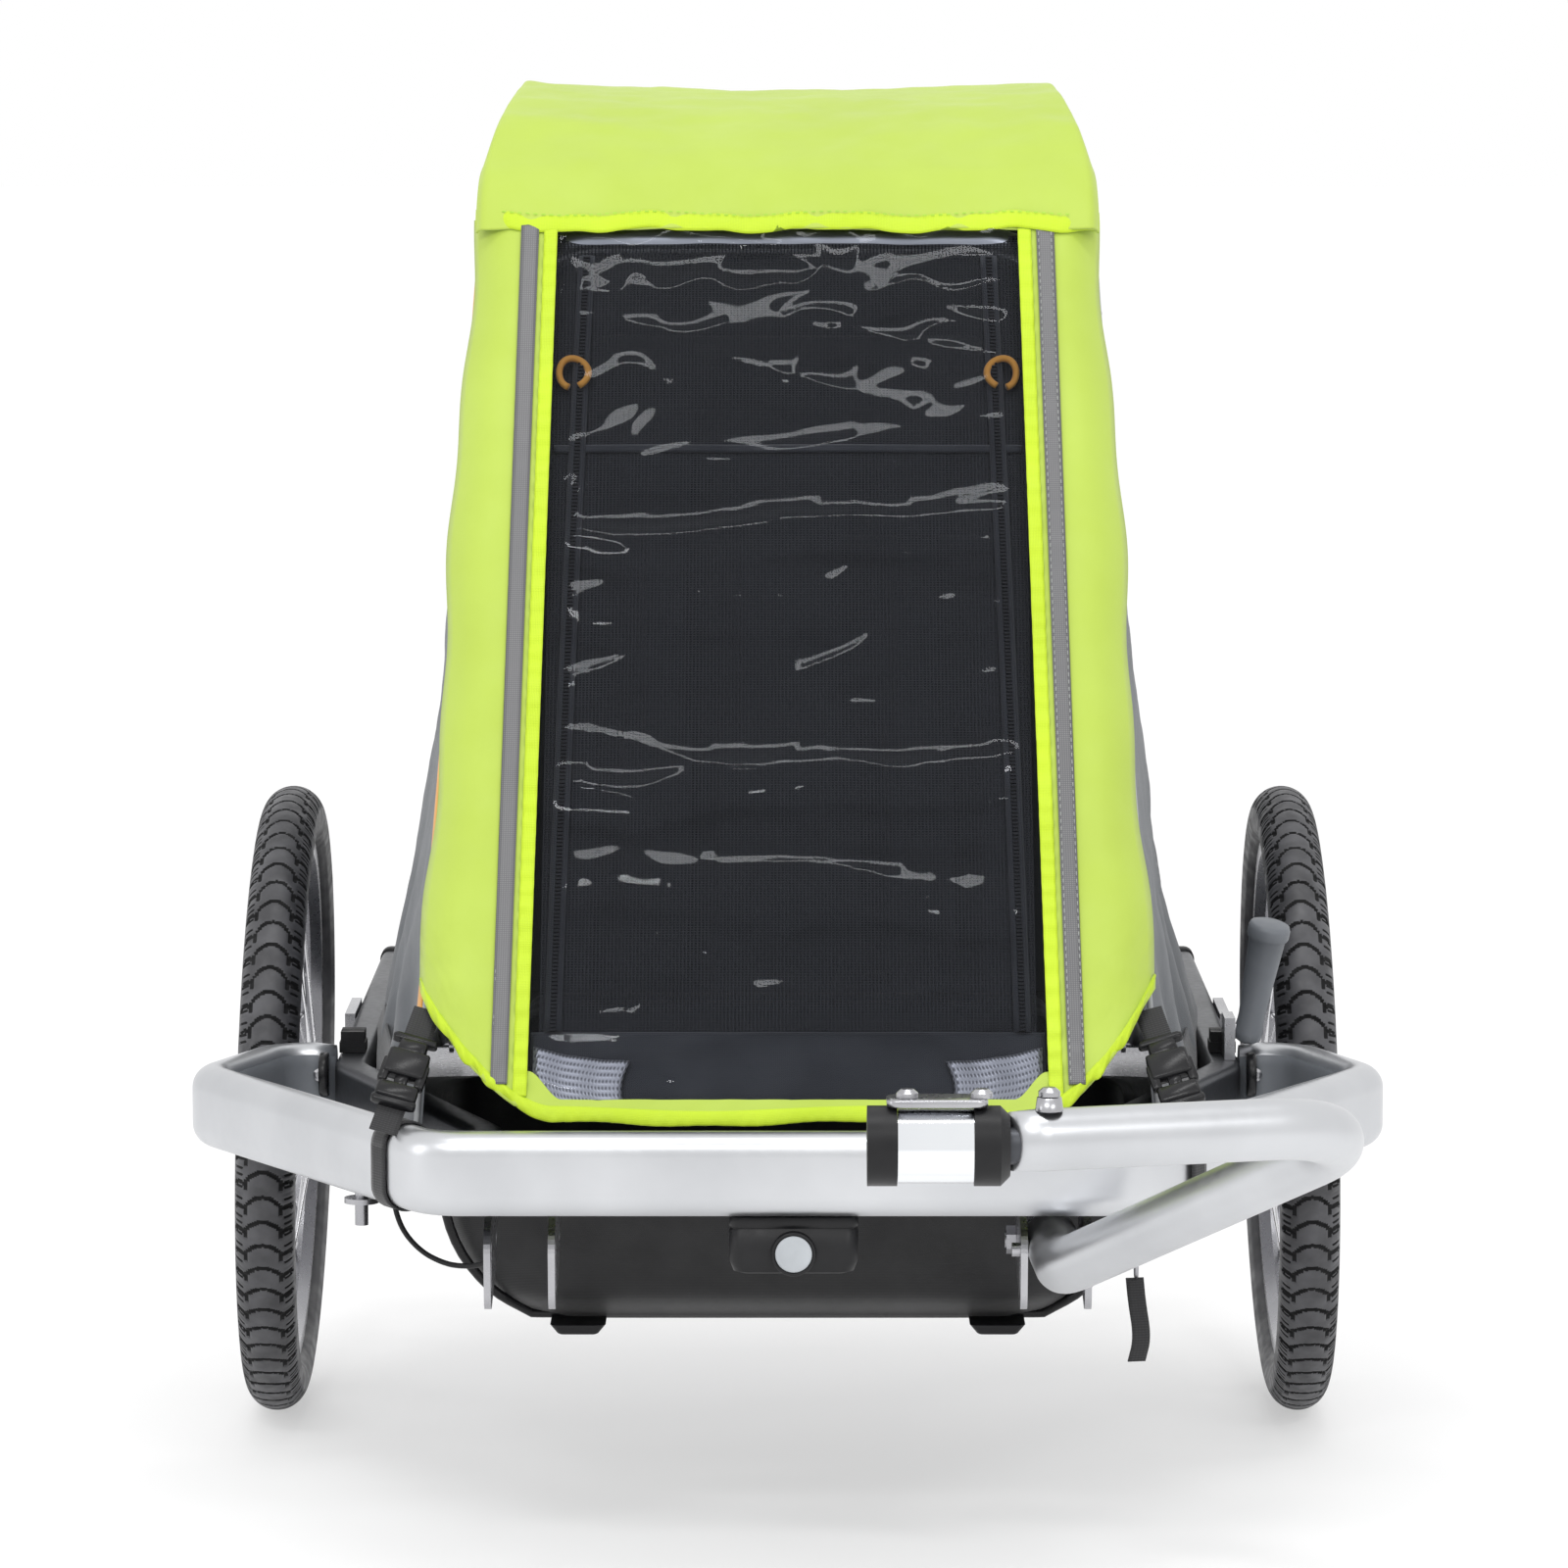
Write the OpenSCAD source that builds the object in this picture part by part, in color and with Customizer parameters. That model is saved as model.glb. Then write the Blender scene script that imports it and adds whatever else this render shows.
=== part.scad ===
// Child bicycle trailer with side drawbar, folding hoops, fabric body and 20-inch wheels.
// +Z is up, the hitch end points along -Y and +X is the drawbar's side.

/* [Wheels] */
// Outer diameter of each tyre
wheel_d = 500; // [470:5:510]
// Width of each tyre
tyre_w = 47; // [38:1:50]
// Distance between the wheel centres
track = 802; // [790:2:840]
// Inward lean of the top of each wheel, in degrees
camber = 1.5; // [0:0.5:2.5]
// Number of spokes in each wheel
spoke_count = 28; // [20:4:36]
// Length of each hub along its axle
hub_len = 52; // [46:2:58]
// Radius of each axle pin
axle_pin_r = 6; // [5:0.5:8]

/* [Frame] */
// Half distance between the side rails, measured at their centres
rail_x = 330; // [324:1:336]
// Width of each rail
rail_w = 26; // [22:1:28]
// Height of each rail
rail_h = 40; // [34:1:44]
// Height of the rail and bumper centre line above the ground
rail_z = 304; // [300:1:312]
// Place of the rear crossbar behind the axle
rear_y = 300; // [290:5:330]
// Radius of the rear, front and axle crossbars
bar_r = 15; // [12:1:16]
// Height of the axle above the ground is half the wheel; this is the radius of its tube
axle_tube_r = 16; // [13:1:17]
// Depth of the bumper tube, front to back
bumper_d = 34; // [28:1:38]
// Height of the bumper tube
bumper_h = 60; // [48:2:64]
// Corner radius of the bumper tube
bumper_corner = 14; // [8:1:14]
// Half width of the straight front of the bumper
bumper_front_x = 250; // [240:2:260]
// Distance from the axle to the centre of the bumper's front
bumper_y = 683; // [670:1:700]

/* [Hoops] */
// Radius of the front hoop tube
front_hoop_r = 12; // [9:0.5:12]
// Radius of the rear hoop tube
rear_hoop_r = 11; // [9:0.5:12]
// Half distance between the front hoop's pivots
front_pivot_x = 280; // [276:1:284]
// Half distance between the rear hoop's pivots
rear_pivot_x = 253; // [248:1:256]
// Height of the rear hoop's top bar
roof_z = 1042.5; // [1000:0.5:1042.5]
// Height of the front hoop's top bar
brow_z = 940; // [900:5:950]
// Radius of each hoop hinge pin
hinge_pin_r = 5; // [4:0.5:6]
// Radius of the push bar tube
push_r = 9; // [8:0.5:10]
// Radius of the push bar's foam grip
grip_r = 15; // [12:1:18]

/* [Drawbar] */
// Radius of the drawbar tube
drawbar_r = 20; // [16:1:20]
// Thickness of each hook plate
plate_t = 5; // [4:0.5:6]
// Gap between the drawbar and each hook plate
plate_gap = 0.5; // [0.3:0.1:1]
// Radius of the drawbar's pivot bolt
pivot_r = 6; // [5:0.5:7]
// Radius of the lock pin
lock_r = 5; // [4:0.5:6]
// Radius of the hitch's end caps
hitch_r = 25.5; // [24:0.5:27]
// Length of the sliding hitch sleeve
sleeve_len = 48; // [44:1:52]
// Bore of the hitch's outer end
hitch_bore_r = 8; // [6:0.5:9]
// Travel of the hitch sleeve
sleeve_travel = 6; // [4:0.5:7]

/* [Body] */
// Thickness of the fabric parts
cloth_t = 3; // [2:0.5:3.5]
// Half width of the cover along its top seam
cover_top_w = 237; // [233:1:245]
// Half width of the cover along its lower hem
cover_hem_w = 266; // [262:1:272]
// Lowest point of the footwell above the ground
tub_z = 150; // [140:2:170]
// Wall of the footwell
tub_wall = 3; // [2:0.5:4]
// Width of the cover straps
strap_w = 20; // [16:1:22]

/* [Socket] */
// Bore radius of the socket under the bumper
socket_bore_r = 12.7; // [10:0.1:14]
// Depth of the socket's bore
socket_depth = 30; // [20:1:34]
// Radius of the push button
button_r = 13; // [9:0.5:13]

/* [Hidden] */
$fn = 48;
seat = 0.3;          // gap between seated pieces
fit = 0.05;          // radial clearance of a running fit
tyre_r = tyre_w / 2;
rim_half = 16.5;
bead_r = wheel_d / 2 - 41;
wheel_x = track / 2;
axle_z = (wheel_d / 2 - tyre_r) * cos(camber) + tyre_r;
rail_in = rail_x - rail_w / 2;
rail_out = rail_x + rail_w / 2;
rail_low = rail_z - rail_h / 2;
rail_top = rail_z + rail_h / 2;
rail_front_y = -(bumper_y - bumper_d / 2);

// Drawbar route: rear end, bend behind the bumper, outer bend, hitch end
drawbar_x = 192;
drawbar_pts = [[drawbar_x, -478, 222], [drawbar_x, -730, 246], [388, -1045, 398], [165.4, -1138, 403]];
hitch_c = [94, -1150, 401];
cap_near = 19;       // length of the cap at the hitch's open end
cap_far = 23;        // length of the domed cap
core_r = 12;
pivot_yz = [-500, 224.1];
lock_yz = [-585, 232.2];
swing = 20;          // downward swing of the drawbar
plate_x = drawbar_r + plate_gap;
cross_yz = [-485, rail_low - seat - bar_r];

front_pivot = [-60, rail_z];
front_top = [-215, brow_z];
rear_pivot = [100, rail_z];
rear_top = [60, roof_z];
front_top_x = 205;
rear_top_x = 190;
knee = 36;           // straight stretch of each leg above its pivot
push_z = 800;
push_leg_x = rear_pivot_x - (rear_pivot_x - rear_top_x) * (push_z - rail_z - knee) / (roof_z - rail_z - knee);
push_leg_y = rear_pivot.x + (rear_top.x - rear_pivot.x) * (push_z - rail_z) / (roof_z - rail_z);
push_pivot_y = push_leg_y + 35;
block_w = 16;
push_x = push_leg_x - block_w / 2 - 0.5 - push_r;
push_grip = [430, 960];
push_pin_r = 4;

button_c = [4, -685, 247.5];
socket_front = -685;
socket_size = [92, 62, 41.2];
lever_c = [350, -282, 338];
lever_len = 96;
lever_lean = 12;

// The whole trailer is centred on its own length, with the ground at zero
y_shift = -((hitch_c.y - hitch_r) + (push_grip.x + grip_r)) / 2;

// Cover route in side view, from the hem up the front and over the roof
cover_route = [[-640, 344], [-572, 446], [-504, 548], [-436, 650], [-368, 752], [-300, 854],
               [-232, 956], [-196, 996], [-140, 1030], [-60, 1050], [30, 1058], [84, 1056], [120, 1034]];
cover_ribs = [[-1, 44], [-1, 22], [-0.965, 7], [-0.87, 0], [-0.45, 0], [0, 0],
              [0.45, 0], [0.87, 0], [0.965, 7], [1, 22], [1, 44]];
hem_lift = 60;       // how far the hem rises at each lower corner

// ---------- helpers ----------

function unit(v) = v / norm(v);
function lerp(a, b, t) = a + (b - a) * t;

module shifted() translate([0, y_shift, 0]) children();

module both_sides() {
    children();
    mirror([1, 0, 0]) children();
}

module x_rod(x0, x1, y, z, r) translate([x0, y, z]) rotate([0, 90, 0]) cylinder(r = r, h = x1 - x0);

module x_plate(x0, t) translate([x0, 0, 0]) rotate([90, 0, 90]) linear_extrude(t) children();

module rounded_rect(w, h, r) {
    square([w - 2 * r, h], center = true);
    square([w, h - 2 * r], center = true);
    for (x = [-1, 1], y = [-1, 1]) translate([x * (w / 2 - r), y * (h / 2 - r)]) circle(r);
}

module frame_at(o, x, y, z)
    multmatrix([[x.x, y.x, z.x, o.x], [x.y, y.y, z.y, o.y], [x.z, y.z, z.z, o.z], [0, 0, 0, 1]]) children();

// Round bend at p1 between p0 and p2, as pairs of a point and its direction
function bend(p0, p1, p2, r) = let (u = unit(p1 - p0), v = unit(p2 - p1), turn = acos(u * v),
        n = unit(cross(cross(u, v), u)), c = p1 - u * r * tan(turn / 2) + n * r, steps = ceil(turn / 8))
    [for (s = [0:steps]) let (a = turn * s / steps)
        [c - n * r * cos(a) + u * r * sin(a), u * cos(a) + n * sin(a)]];

function bent_route(pts, radii) = let (last = len(pts) - 1) concat(
    [[pts[0], unit(pts[1] - pts[0])]],
    [for (i = [1:last - 1]) each bend(pts[i - 1], pts[i], pts[i + 1], radii[i])],
    [[pts[last], unit(pts[last] - pts[last - 1])]]);

function round_outline(r) = [for (k = [0:23]) r * [cos(15 * k), sin(15 * k)]];

function box_outline(w, h, r) = [for (q = [[1, 1], [-1, 1], [-1, -1], [1, -1]], k = [0:3])
    let (a = atan2(q.y, q.x) - 45 + 30 * k) [q.x * (w / 2 - r) + r * cos(a), q.y * (h / 2 - r) + r * sin(a)]];

// Tube along straight runs and round bends; the outline's y axis leans to the reference direction
module bent_tube(pts, radii, outline, ref = [0, 0, 1]) {
    route = bent_route(pts, radii);
    n = len(route);
    m = len(outline);
    rings = [for (st = route) let (side = unit(cross(ref, st[1])), up = cross(st[1], side))
        for (o = outline) st[0] + o.x * side + o.y * up];
    tube_solid(rings, n, m);
}

module tube_solid(rings, n, m) polyhedron(points = rings, faces = concat(
    [[for (k = [0:m - 1]) k]], [[for (k = [m - 1:-1:0]) (n - 1) * m + k]],
    [for (i = [0:n - 2], k = [0:m - 1]) each let (a = i * m + k, b = i * m + (k + 1) % m)
        [[a, a + m, b + m], [a, b + m, b]]]));

// Closed thin solid between two grids of points of the same size
module sheet_solid(outer, inner) {
    n = len(outer);
    m = len(outer[0]);
    pts = [for (g = [outer, inner]) for (row = g) for (p = row) p];
    back = n * m;
    rim = concat([for (j = [0:m - 2]) j], [for (i = [0:n - 2]) i * m + m - 1],
                 [for (j = [m - 1:-1:1]) (n - 1) * m + j], [for (i = [n - 1:-1:1]) i * m]);
    faces = concat(
        [for (i = [0:n - 2], j = [0:m - 2]) each let (a = i * m + j)
            [[a, a + m, a + m + 1], [a, a + m + 1, a + 1]]],
        [for (i = [0:n - 2], j = [0:m - 2]) each let (a = back + i * m + j)
            [[a, a + m + 1, a + m], [a, a + 1, a + m + 1]]],
        [for (k = [0:len(rim) - 1]) each let (a = rim[k], b = rim[(k + 1) % len(rim)])
            [[a, b, back + b], [a, back + b, back + a]]]);
    polyhedron(points = pts, faces = faces);
}

// Round tube swept along a list of points
module swept_tube(route, r, sides) {
    n = len(route);
    tangent = [for (i = [0:n - 1]) unit(route[min(i + 1, n - 1)] - route[max(i - 1, 0)])];
    rings = [for (i = [0:n - 1]) let (side = unit(cross([0.31, 0.2, 0.93], tangent[i])),
                                      up = cross(tangent[i], side))
        for (k = [0:sides - 1]) route[i] + r * (cos(360 * k / sides) * side + sin(360 * k / sides) * up)];
    tube_solid(rings, n, sides);
}

// ---------- frame ----------

function mirrored(pts) = [for (i = [len(pts) - 1:-1:0]) [-pts[i].x, pts[i].y, pts[i].z]];
bumper_bend = 36;
rail_front_x = bumper_front_x - 35;
bumper_half = [[-rail_out - seat, -265, rail_z], [-388, -265, rail_z], [-431, -378, rail_z],
               [-bumper_front_x, -bumper_y, rail_z]];
bumper_bends = [0, 40, 40, bumper_bend];

module bumper() color("Gainsboro") shifted()
    bent_tube(concat(bumper_half, mirrored(bumper_half)), concat(bumper_bends, [bumper_bend, 40, 40, 0]),
              box_outline(bumper_d, bumper_h, bumper_corner));

// Button-head screw on the front face of each return leg
module bumper_bolts() color("DimGray") shifted() both_sides()
    translate([-355, bumper_half[0].y - bumper_d / 2 - seat, rail_z + 8]) rotate([90, 0, 0]) {
        cylinder(r = 5, h = 2);
        translate([0, 0, 2]) cylinder(r1 = 5, r2 = 3, h = 1.6);
    }

module side_rail() bent_tube([[-rail_x, rear_y + 40, rail_z], [-rail_x, -300, rail_z],
        [-rail_front_x, -600, rail_z], [-rail_front_x, rail_front_y + seat, rail_z]], [0, 70, 40, 0],
    box_outline(rail_w, rail_h, 6));

module side_rail_left() color("Silver") shifted() side_rail();
module side_rail_right() color("Silver") shifted() mirror([1, 0, 0]) side_rail();

module front_crossbar() color("Silver") shifted() x_rod(-268, 268, cross_yz.x, cross_yz.y, bar_r);
module rear_crossbar() color("Silver") shifted() x_rod(-rail_in, rail_in, rear_y, rail_z, bar_r);
module axle_tube() color("Silver") shifted() x_rod(-rail_out, rail_out, 0, axle_z, axle_tube_r);

plate_out = 8;
module axle_plates() color("DimGray") shifted() both_sides() difference() {
    x_plate(-rail_out - plate_out, plate_out) hull() {
        translate([0, axle_z]) circle(24, $fn = 32);
        translate([0, rail_z]) square([90, rail_h], center = true);
    }
    x_rod(-rail_out - plate_out - 1, -rail_out + 1, 0, axle_z, axle_pin_r);
}

// Wheel placement: the axis leans with the camber
module at_wheel(side) shifted() translate([side * wheel_x, 0, axle_z]) rotate([0, -side * camber, 0])
    mirror([side > 0 ? 1 : 0, 0, 0]) children();

pin_in = wheel_x - rail_out - plate_out / 2;
module axle_pins() color("Silver") for (side = [-1, 1]) at_wheel(side) {
    x_rod(-hub_len / 2 - 8, hub_len / 2 + 3, 0, 0, axle_pin_r);
    x_rod(hub_len / 2 + 3, pin_in - 5, 0, 0, axle_pin_r + 4);
    x_rod(-hub_len / 2 - 10, -hub_len / 2 - 0.5, 0, 0, 9);
}

module rail_clips() color("#222222") shifted() both_sides() translate([-332, -240, rail_top + seat]) {
    translate([-10, -13, 0]) cube([20, 26, 8]);
    for (y = [-12, -5, 2, 9]) translate([-9, y, 8]) cube([18, 4, 8]);
}

stud_xy = [-321, -330];
module rail_studs() color("Gray") shifted() both_sides() translate(stud_xy) {
    translate([0, 0, 205]) cylinder(r = 5, h = rail_low - seat - 205);
    translate([0, 0, 222]) cylinder(r = 13, h = 4);
    translate([0, 0, rail_low - seat - 12]) cylinder(r = 11, h = 12);
}

wire_route = [[-287, -462, 283.5], [-289, -466, 262], [-288, -470, 244], [-281, -475, 226],
              [-267, -482, 212], [-249, -492, 205], [-232, -502, 205], [-218.4, -512, 209]];
module retaining_wire() color("#1c1c1c") shifted() swept_tube(wire_route, 2, 8);

// ---------- floor ----------

tub_top = rail_low - seat;
module tub_form(grow, z0) hull() {
    translate([0, -275, z0]) linear_extrude(1) square([440 + 2 * grow, 300 + 2 * grow], center = true);
    translate([0, -278, tub_top - 1]) linear_extrude(1) square([500 + 2 * grow, 356 + 2 * grow], center = true);
}
module floor_tub() color("#1a1a1a") shifted() {
    difference() {
        tub_form(0, tub_z);
        translate([0, 0, tub_wall]) tub_form(-tub_wall, tub_z);
    }
    difference() {
        translate([0, 0, tub_top - tub_wall]) linear_extrude(tub_wall)
            polygon([[-324, -96], [-324, -296], [-276, -462], [276, -462], [324, -296], [324, -96]]);
        translate([0, -278, tub_top - tub_wall - 1]) linear_extrude(tub_wall + 2)
            square([496, 352], center = true);
        both_sides() translate([stud_xy.x, stud_xy.y, tub_top - 20]) cylinder(r = 12, h = 40);
    }
}

module floor_feet() color("#151515") shifted() both_sides() translate([-155, -395, tub_z - seat]) hull() {
    translate([-20, -50, -2]) cube([40, 100, 2]);
    translate([-15, -44, -12]) cube([30, 88, 1]);
}

module seat_board() color("#202020") shifted()
    translate([-300, -88, axle_z + axle_tube_r + seat]) cube([600, rear_y + 66, 4]);

// ---------- socket ----------

module jogger_socket() color("#1e1e1e") shifted() difference() {
    translate([button_c.x, socket_front, rail_z - bumper_h / 2 - seat - socket_size.z]) union() {
        translate([-socket_size.x / 2, 0, 8])
            cube([socket_size.x, socket_size.y, socket_size.z - 8]);
        translate([-socket_size.x / 2 + 12, 0, 0]) cube([socket_size.x - 24, socket_size.y, 9]);
    }
    translate([button_c.x, socket_front - 1, button_c.z]) rotate([-90, 0, 0])
        cylinder(r = button_r + fit, h = 15);
    translate([button_c.x, socket_front + 36, rail_z - bumper_h / 2 - seat - socket_size.z - 1])
        cylinder(r = socket_bore_r, h = socket_depth + 1);
}

module socket_button() color("LightGray") shifted()
    translate([button_c.x, socket_front - 5, button_c.z]) rotate([-90, 0, 0]) difference() {
        cylinder(r = button_r, h = 13);
        translate([0, 0, -60]) sphere(r = 61, $fn = 64);
    }

// ---------- hook plates and drawbar ----------

function about_pivot(a) = let (v = lock_yz - pivot_yz)
    pivot_yz + [v.x * cos(a) - v.y * sin(a), v.x * sin(a) + v.y * cos(a)];

module hook_outline() hull() {
    translate(cross_yz) circle(19, $fn = 32);
    translate(pivot_yz) circle(17, $fn = 32);
    translate(lock_yz) circle(17, $fn = 32);
    translate(about_pivot(swing)) circle(14, $fn = 32);
}

// Arc slot that the lock pin follows while the drawbar swings
module lock_slot(x0, t) {
    slot_r = lock_r + 0.6;
    reach = norm(lock_yz - pivot_yz);
    rise = atan2(lock_yz.y - pivot_yz.y, -(lock_yz.x - pivot_yz.x));
    for (a = [0, swing]) x_rod(x0, x0 + t, about_pivot(a).x, about_pivot(a).y, slot_r);
    translate([x0, pivot_yz.x, pivot_yz.y]) rotate([90, 0, 90]) rotate([0, 0, 180 - rise])
        rotate_extrude(angle = swing) translate([reach - slot_r, 0]) square([2 * slot_r, t]);
}

module hook_plates(side) for (s = [-1, 1]) {
    x0 = side * drawbar_x + (s > 0 ? plate_x : -plate_x - plate_t);
    difference() {
        x_plate(x0, plate_t) hook_outline();
        x_rod(x0 - 1, x0 + plate_t + 1, cross_yz.x, cross_yz.y, bar_r + seat);
        x_rod(x0 - 1, x0 + plate_t + 1, pivot_yz.x, pivot_yz.y, pivot_r + seat);
        lock_slot(x0 - 1, plate_t + 2);
    }
}

module hook_plates_left() color("Silver") shifted() hook_plates(-1);
module hook_plates_right() color("Silver") shifted() hook_plates(1);

bolt_end = plate_x + plate_t + seat;
module pivot_bolt() color("Silver") shifted() {
    x_rod(drawbar_x - bolt_end - 8, drawbar_x + bolt_end + 6, pivot_yz.x, pivot_yz.y, pivot_r);
    x_rod(drawbar_x + bolt_end, drawbar_x + bolt_end + 6, pivot_yz.x, pivot_yz.y, 10);
    translate([drawbar_x - bolt_end - 7, pivot_yz.x, pivot_yz.y]) rotate([0, 90, 0])
        cylinder(r = 10.5, h = 7, $fn = 6);
}

module drawbar() color("Silver") shifted() difference() {
    bent_tube(drawbar_pts, [0, 70, 75, 0], round_outline(drawbar_r));
    x_rod(drawbar_x - drawbar_r - 1, drawbar_x + drawbar_r + 1, pivot_yz.x, pivot_yz.y, pivot_r + fit);
    x_rod(drawbar_x - drawbar_r - 1, drawbar_x + drawbar_r + 1, lock_yz.x, lock_yz.y, lock_r + fit);
}

sleeve_x = hitch_c.x - 1;
module hitch_yoke() color("DimGray") shifted() {
    translate([62, hitch_c.y - 20, hitch_c.z + hitch_r + seat]) cube([112, 44, 5]);
    translate([156, hitch_c.y - 20, hitch_c.z - 26]) cube([4, 44, 26 + hitch_r + seat]);
}

module hitch_core() color("Gray") shifted()
    x_rod(sleeve_x - sleeve_len / 2 - 0.2, 156 - seat, hitch_c.y, hitch_c.z, core_r);

module hitch_caps() color("#181818") shifted() {
    difference() {
        x_rod(sleeve_x - sleeve_len / 2 - seat - cap_near, sleeve_x - sleeve_len / 2 - seat,
              hitch_c.y, hitch_c.z, hitch_r);
        x_rod(sleeve_x - sleeve_len / 2 - seat - cap_near - 1, sleeve_x - sleeve_len / 2,
              hitch_c.y, hitch_c.z, hitch_bore_r);
    }
    difference() {
        union() {
            x_rod(sleeve_x + sleeve_len / 2 + seat, sleeve_x + sleeve_len / 2 + cap_far - 6,
                  hitch_c.y, hitch_c.z, hitch_r);
            translate([sleeve_x + sleeve_len / 2 + cap_far - 6, hitch_c.y, hitch_c.z]) rotate([0, 90, 0])
                cylinder(r1 = hitch_r, r2 = hitch_r - 6, h = 6);
        }
        x_rod(sleeve_x + sleeve_len / 2 - 1, sleeve_x + sleeve_len / 2 + sleeve_travel + 1,
              hitch_c.y, hitch_c.z, hitch_r - 1.5);
        x_rod(sleeve_x + sleeve_len / 2, sleeve_x + sleeve_len / 2 + cap_far + 1,
              hitch_c.y, hitch_c.z, core_r + seat);
    }
}

module hitch_bolts() color("Silver") shifted() for (x = [75, 122, 165])
    translate([x, hitch_c.y + (x > 150 ? 6 : 0), hitch_c.z + hitch_r + seat + 5 + seat / 2]) {
        cylinder(r = 7, h = 3);
        translate([0, 0, 3]) cylinder(r1 = 7, r2 = 4, h = 2.5);
    }

module hitch_sleeve() color("LightGray") shifted() difference() {
    x_rod(sleeve_x - sleeve_len / 2, sleeve_x + sleeve_len / 2, hitch_c.y, hitch_c.z, hitch_r - 2);
    x_rod(sleeve_x - sleeve_len / 2 - 1, sleeve_x + sleeve_len / 2 + 1, hitch_c.y, hitch_c.z, core_r + fit);
}

knob_x = drawbar_x + plate_x + plate_t + 0.6;
module lock_pin() color("Silver") shifted() difference() {
    union() {
        x_rod(drawbar_x - plate_x - plate_t - 6, knob_x + 1, lock_yz.x, lock_yz.y, lock_r);
        translate([knob_x, lock_yz.x, lock_yz.y]) rotate([0, 90, 0]) cylinder(r1 = 11, r2 = 13, h = 16);
        translate([knob_x + 16, lock_yz.x, lock_yz.y]) rotate([0, 90, 0]) cylinder(r1 = 13, r2 = 8, h = 12);
        x_rod(knob_x + 27, knob_x + 36, lock_yz.x, lock_yz.y, 5);
    }
    translate([knob_x + 31.5, lock_yz.x + 20, lock_yz.y]) rotate([90, 0, 0]) cylinder(r = 2.9, h = 40);
}

module lock_ring() color("Silver") shifted()
    translate([knob_x + 31.5, lock_yz.x, lock_yz.y - 10]) rotate([0, 90, 0])
        rotate_extrude() translate([10, 0]) circle(1.4, $fn = 24);

// ---------- hoops ----------

module hinge_bosses() color("#202020") shifted() both_sides() {
    x_rod(-rail_in + seat, -front_pivot_x - front_hoop_r - 0.5, front_pivot.x, front_pivot.y, 15);
    x_rod(-rail_in + seat, -rear_pivot_x - rear_hoop_r - 0.5, rear_pivot.x, rear_pivot.y, 15);
}

module hinge_pin(pivot, x, r) {
    x_rod(-x - r - 0.4, -x + r + 1, pivot.x, pivot.y, hinge_pin_r);
    x_rod(-x + r + 0.5, -x + r + 4, pivot.x, pivot.y, hinge_pin_r + 4);
}
module hinge_pins() color("Silver") shifted() both_sides() {
    hinge_pin(front_pivot, front_pivot_x, front_hoop_r);
    hinge_pin(rear_pivot, rear_pivot_x, rear_hoop_r);
}

function hoop_points(pivot, top, x0, x1) = let (lean = (top.x - pivot.x) / (top.y - pivot.y),
        half = [[-x0, pivot.x - lean * 12, pivot.y - 12], [-x0, pivot.x + lean * knee, pivot.y + knee],
                [-x1, top.x, top.y]]) concat(half, mirrored(half));

module hoop(pivot, top, x0, x1, r, corner) difference() {
    bent_tube(hoop_points(pivot, top, x0, x1), [0, 60, corner, corner, 60, 0], round_outline(r),
              [0, top.y - pivot.y, pivot.x - top.x]);
    for (s = [-1, 1]) x_rod(s * x0 - r - 1, s * x0 + r + 1, pivot.x, pivot.y, hinge_pin_r + fit);
}

module front_hoop() color("Silver") shifted()
    hoop(front_pivot, front_top, front_pivot_x, front_top_x, front_hoop_r, 70);
module rear_hoop() color("Silver") shifted()
    hoop(rear_pivot, rear_top, rear_pivot_x, rear_top_x, rear_hoop_r, 45);

module push_brackets() color("#202020") shifted() both_sides() difference() {
    hull() {
        translate([-push_leg_x - block_w / 2, push_leg_y + rear_hoop_r + 1.1, push_z - 14])
            cube([block_w, 2, 28]);
        x_rod(-push_leg_x - block_w / 2, -push_leg_x + block_w / 2, push_pivot_y, push_z, 11);
    }
    x_rod(-push_leg_x - block_w, -push_leg_x + block_w, push_pivot_y, push_z, push_pin_r + seat);
}

module push_pins() color("Silver") shifted() both_sides() {
    x_rod(-push_leg_x - block_w / 2 - 1, -push_x + push_r + 1, push_pivot_y, push_z, push_pin_r);
    x_rod(-push_leg_x - block_w / 2 - 4, -push_leg_x - block_w / 2 - seat, push_pivot_y, push_z, 8);
    x_rod(-push_x + push_r + 0.5, -push_x + push_r + 4, push_pivot_y, push_z, 8);
}

push_dir = unit([push_grip.x - push_pivot_y, push_grip.y - push_z]);
module push_bar() color("Silver") shifted() difference() {
    bent_tube([[-push_x, push_pivot_y - push_dir.x * 11, push_z - push_dir.y * 11],
               [-push_x, push_grip.x, push_grip.y], [push_x, push_grip.x, push_grip.y],
               [push_x, push_pivot_y - push_dir.x * 11, push_z - push_dir.y * 11]], [0, 60, 60, 0],
              round_outline(push_r), [0, -push_dir.y, push_dir.x]);
    for (s = [-1, 1]) x_rod(s * push_x - push_r - 1, s * push_x + push_r + 1, push_pivot_y, push_z,
                            push_pin_r + fit);
}

module push_grip() color("#1a1a1a") shifted() difference() {
    x_rod(-120, 120, push_grip.x, push_grip.y, grip_r);
    x_rod(-121, 121, push_grip.x, push_grip.y, push_r + seat);
}

// ---------- parking brake ----------

module brake_bracket() color("Silver") shifted() {
    translate([lever_c.x - 19, lever_c.y - 8, rail_top + seat]) cube([8, 36, lever_c.z + 18 - rail_top]);
    x_rod(lever_c.x - 12, lever_c.x + 10, lever_c.y, lever_c.z + 10, 4);
}

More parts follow.
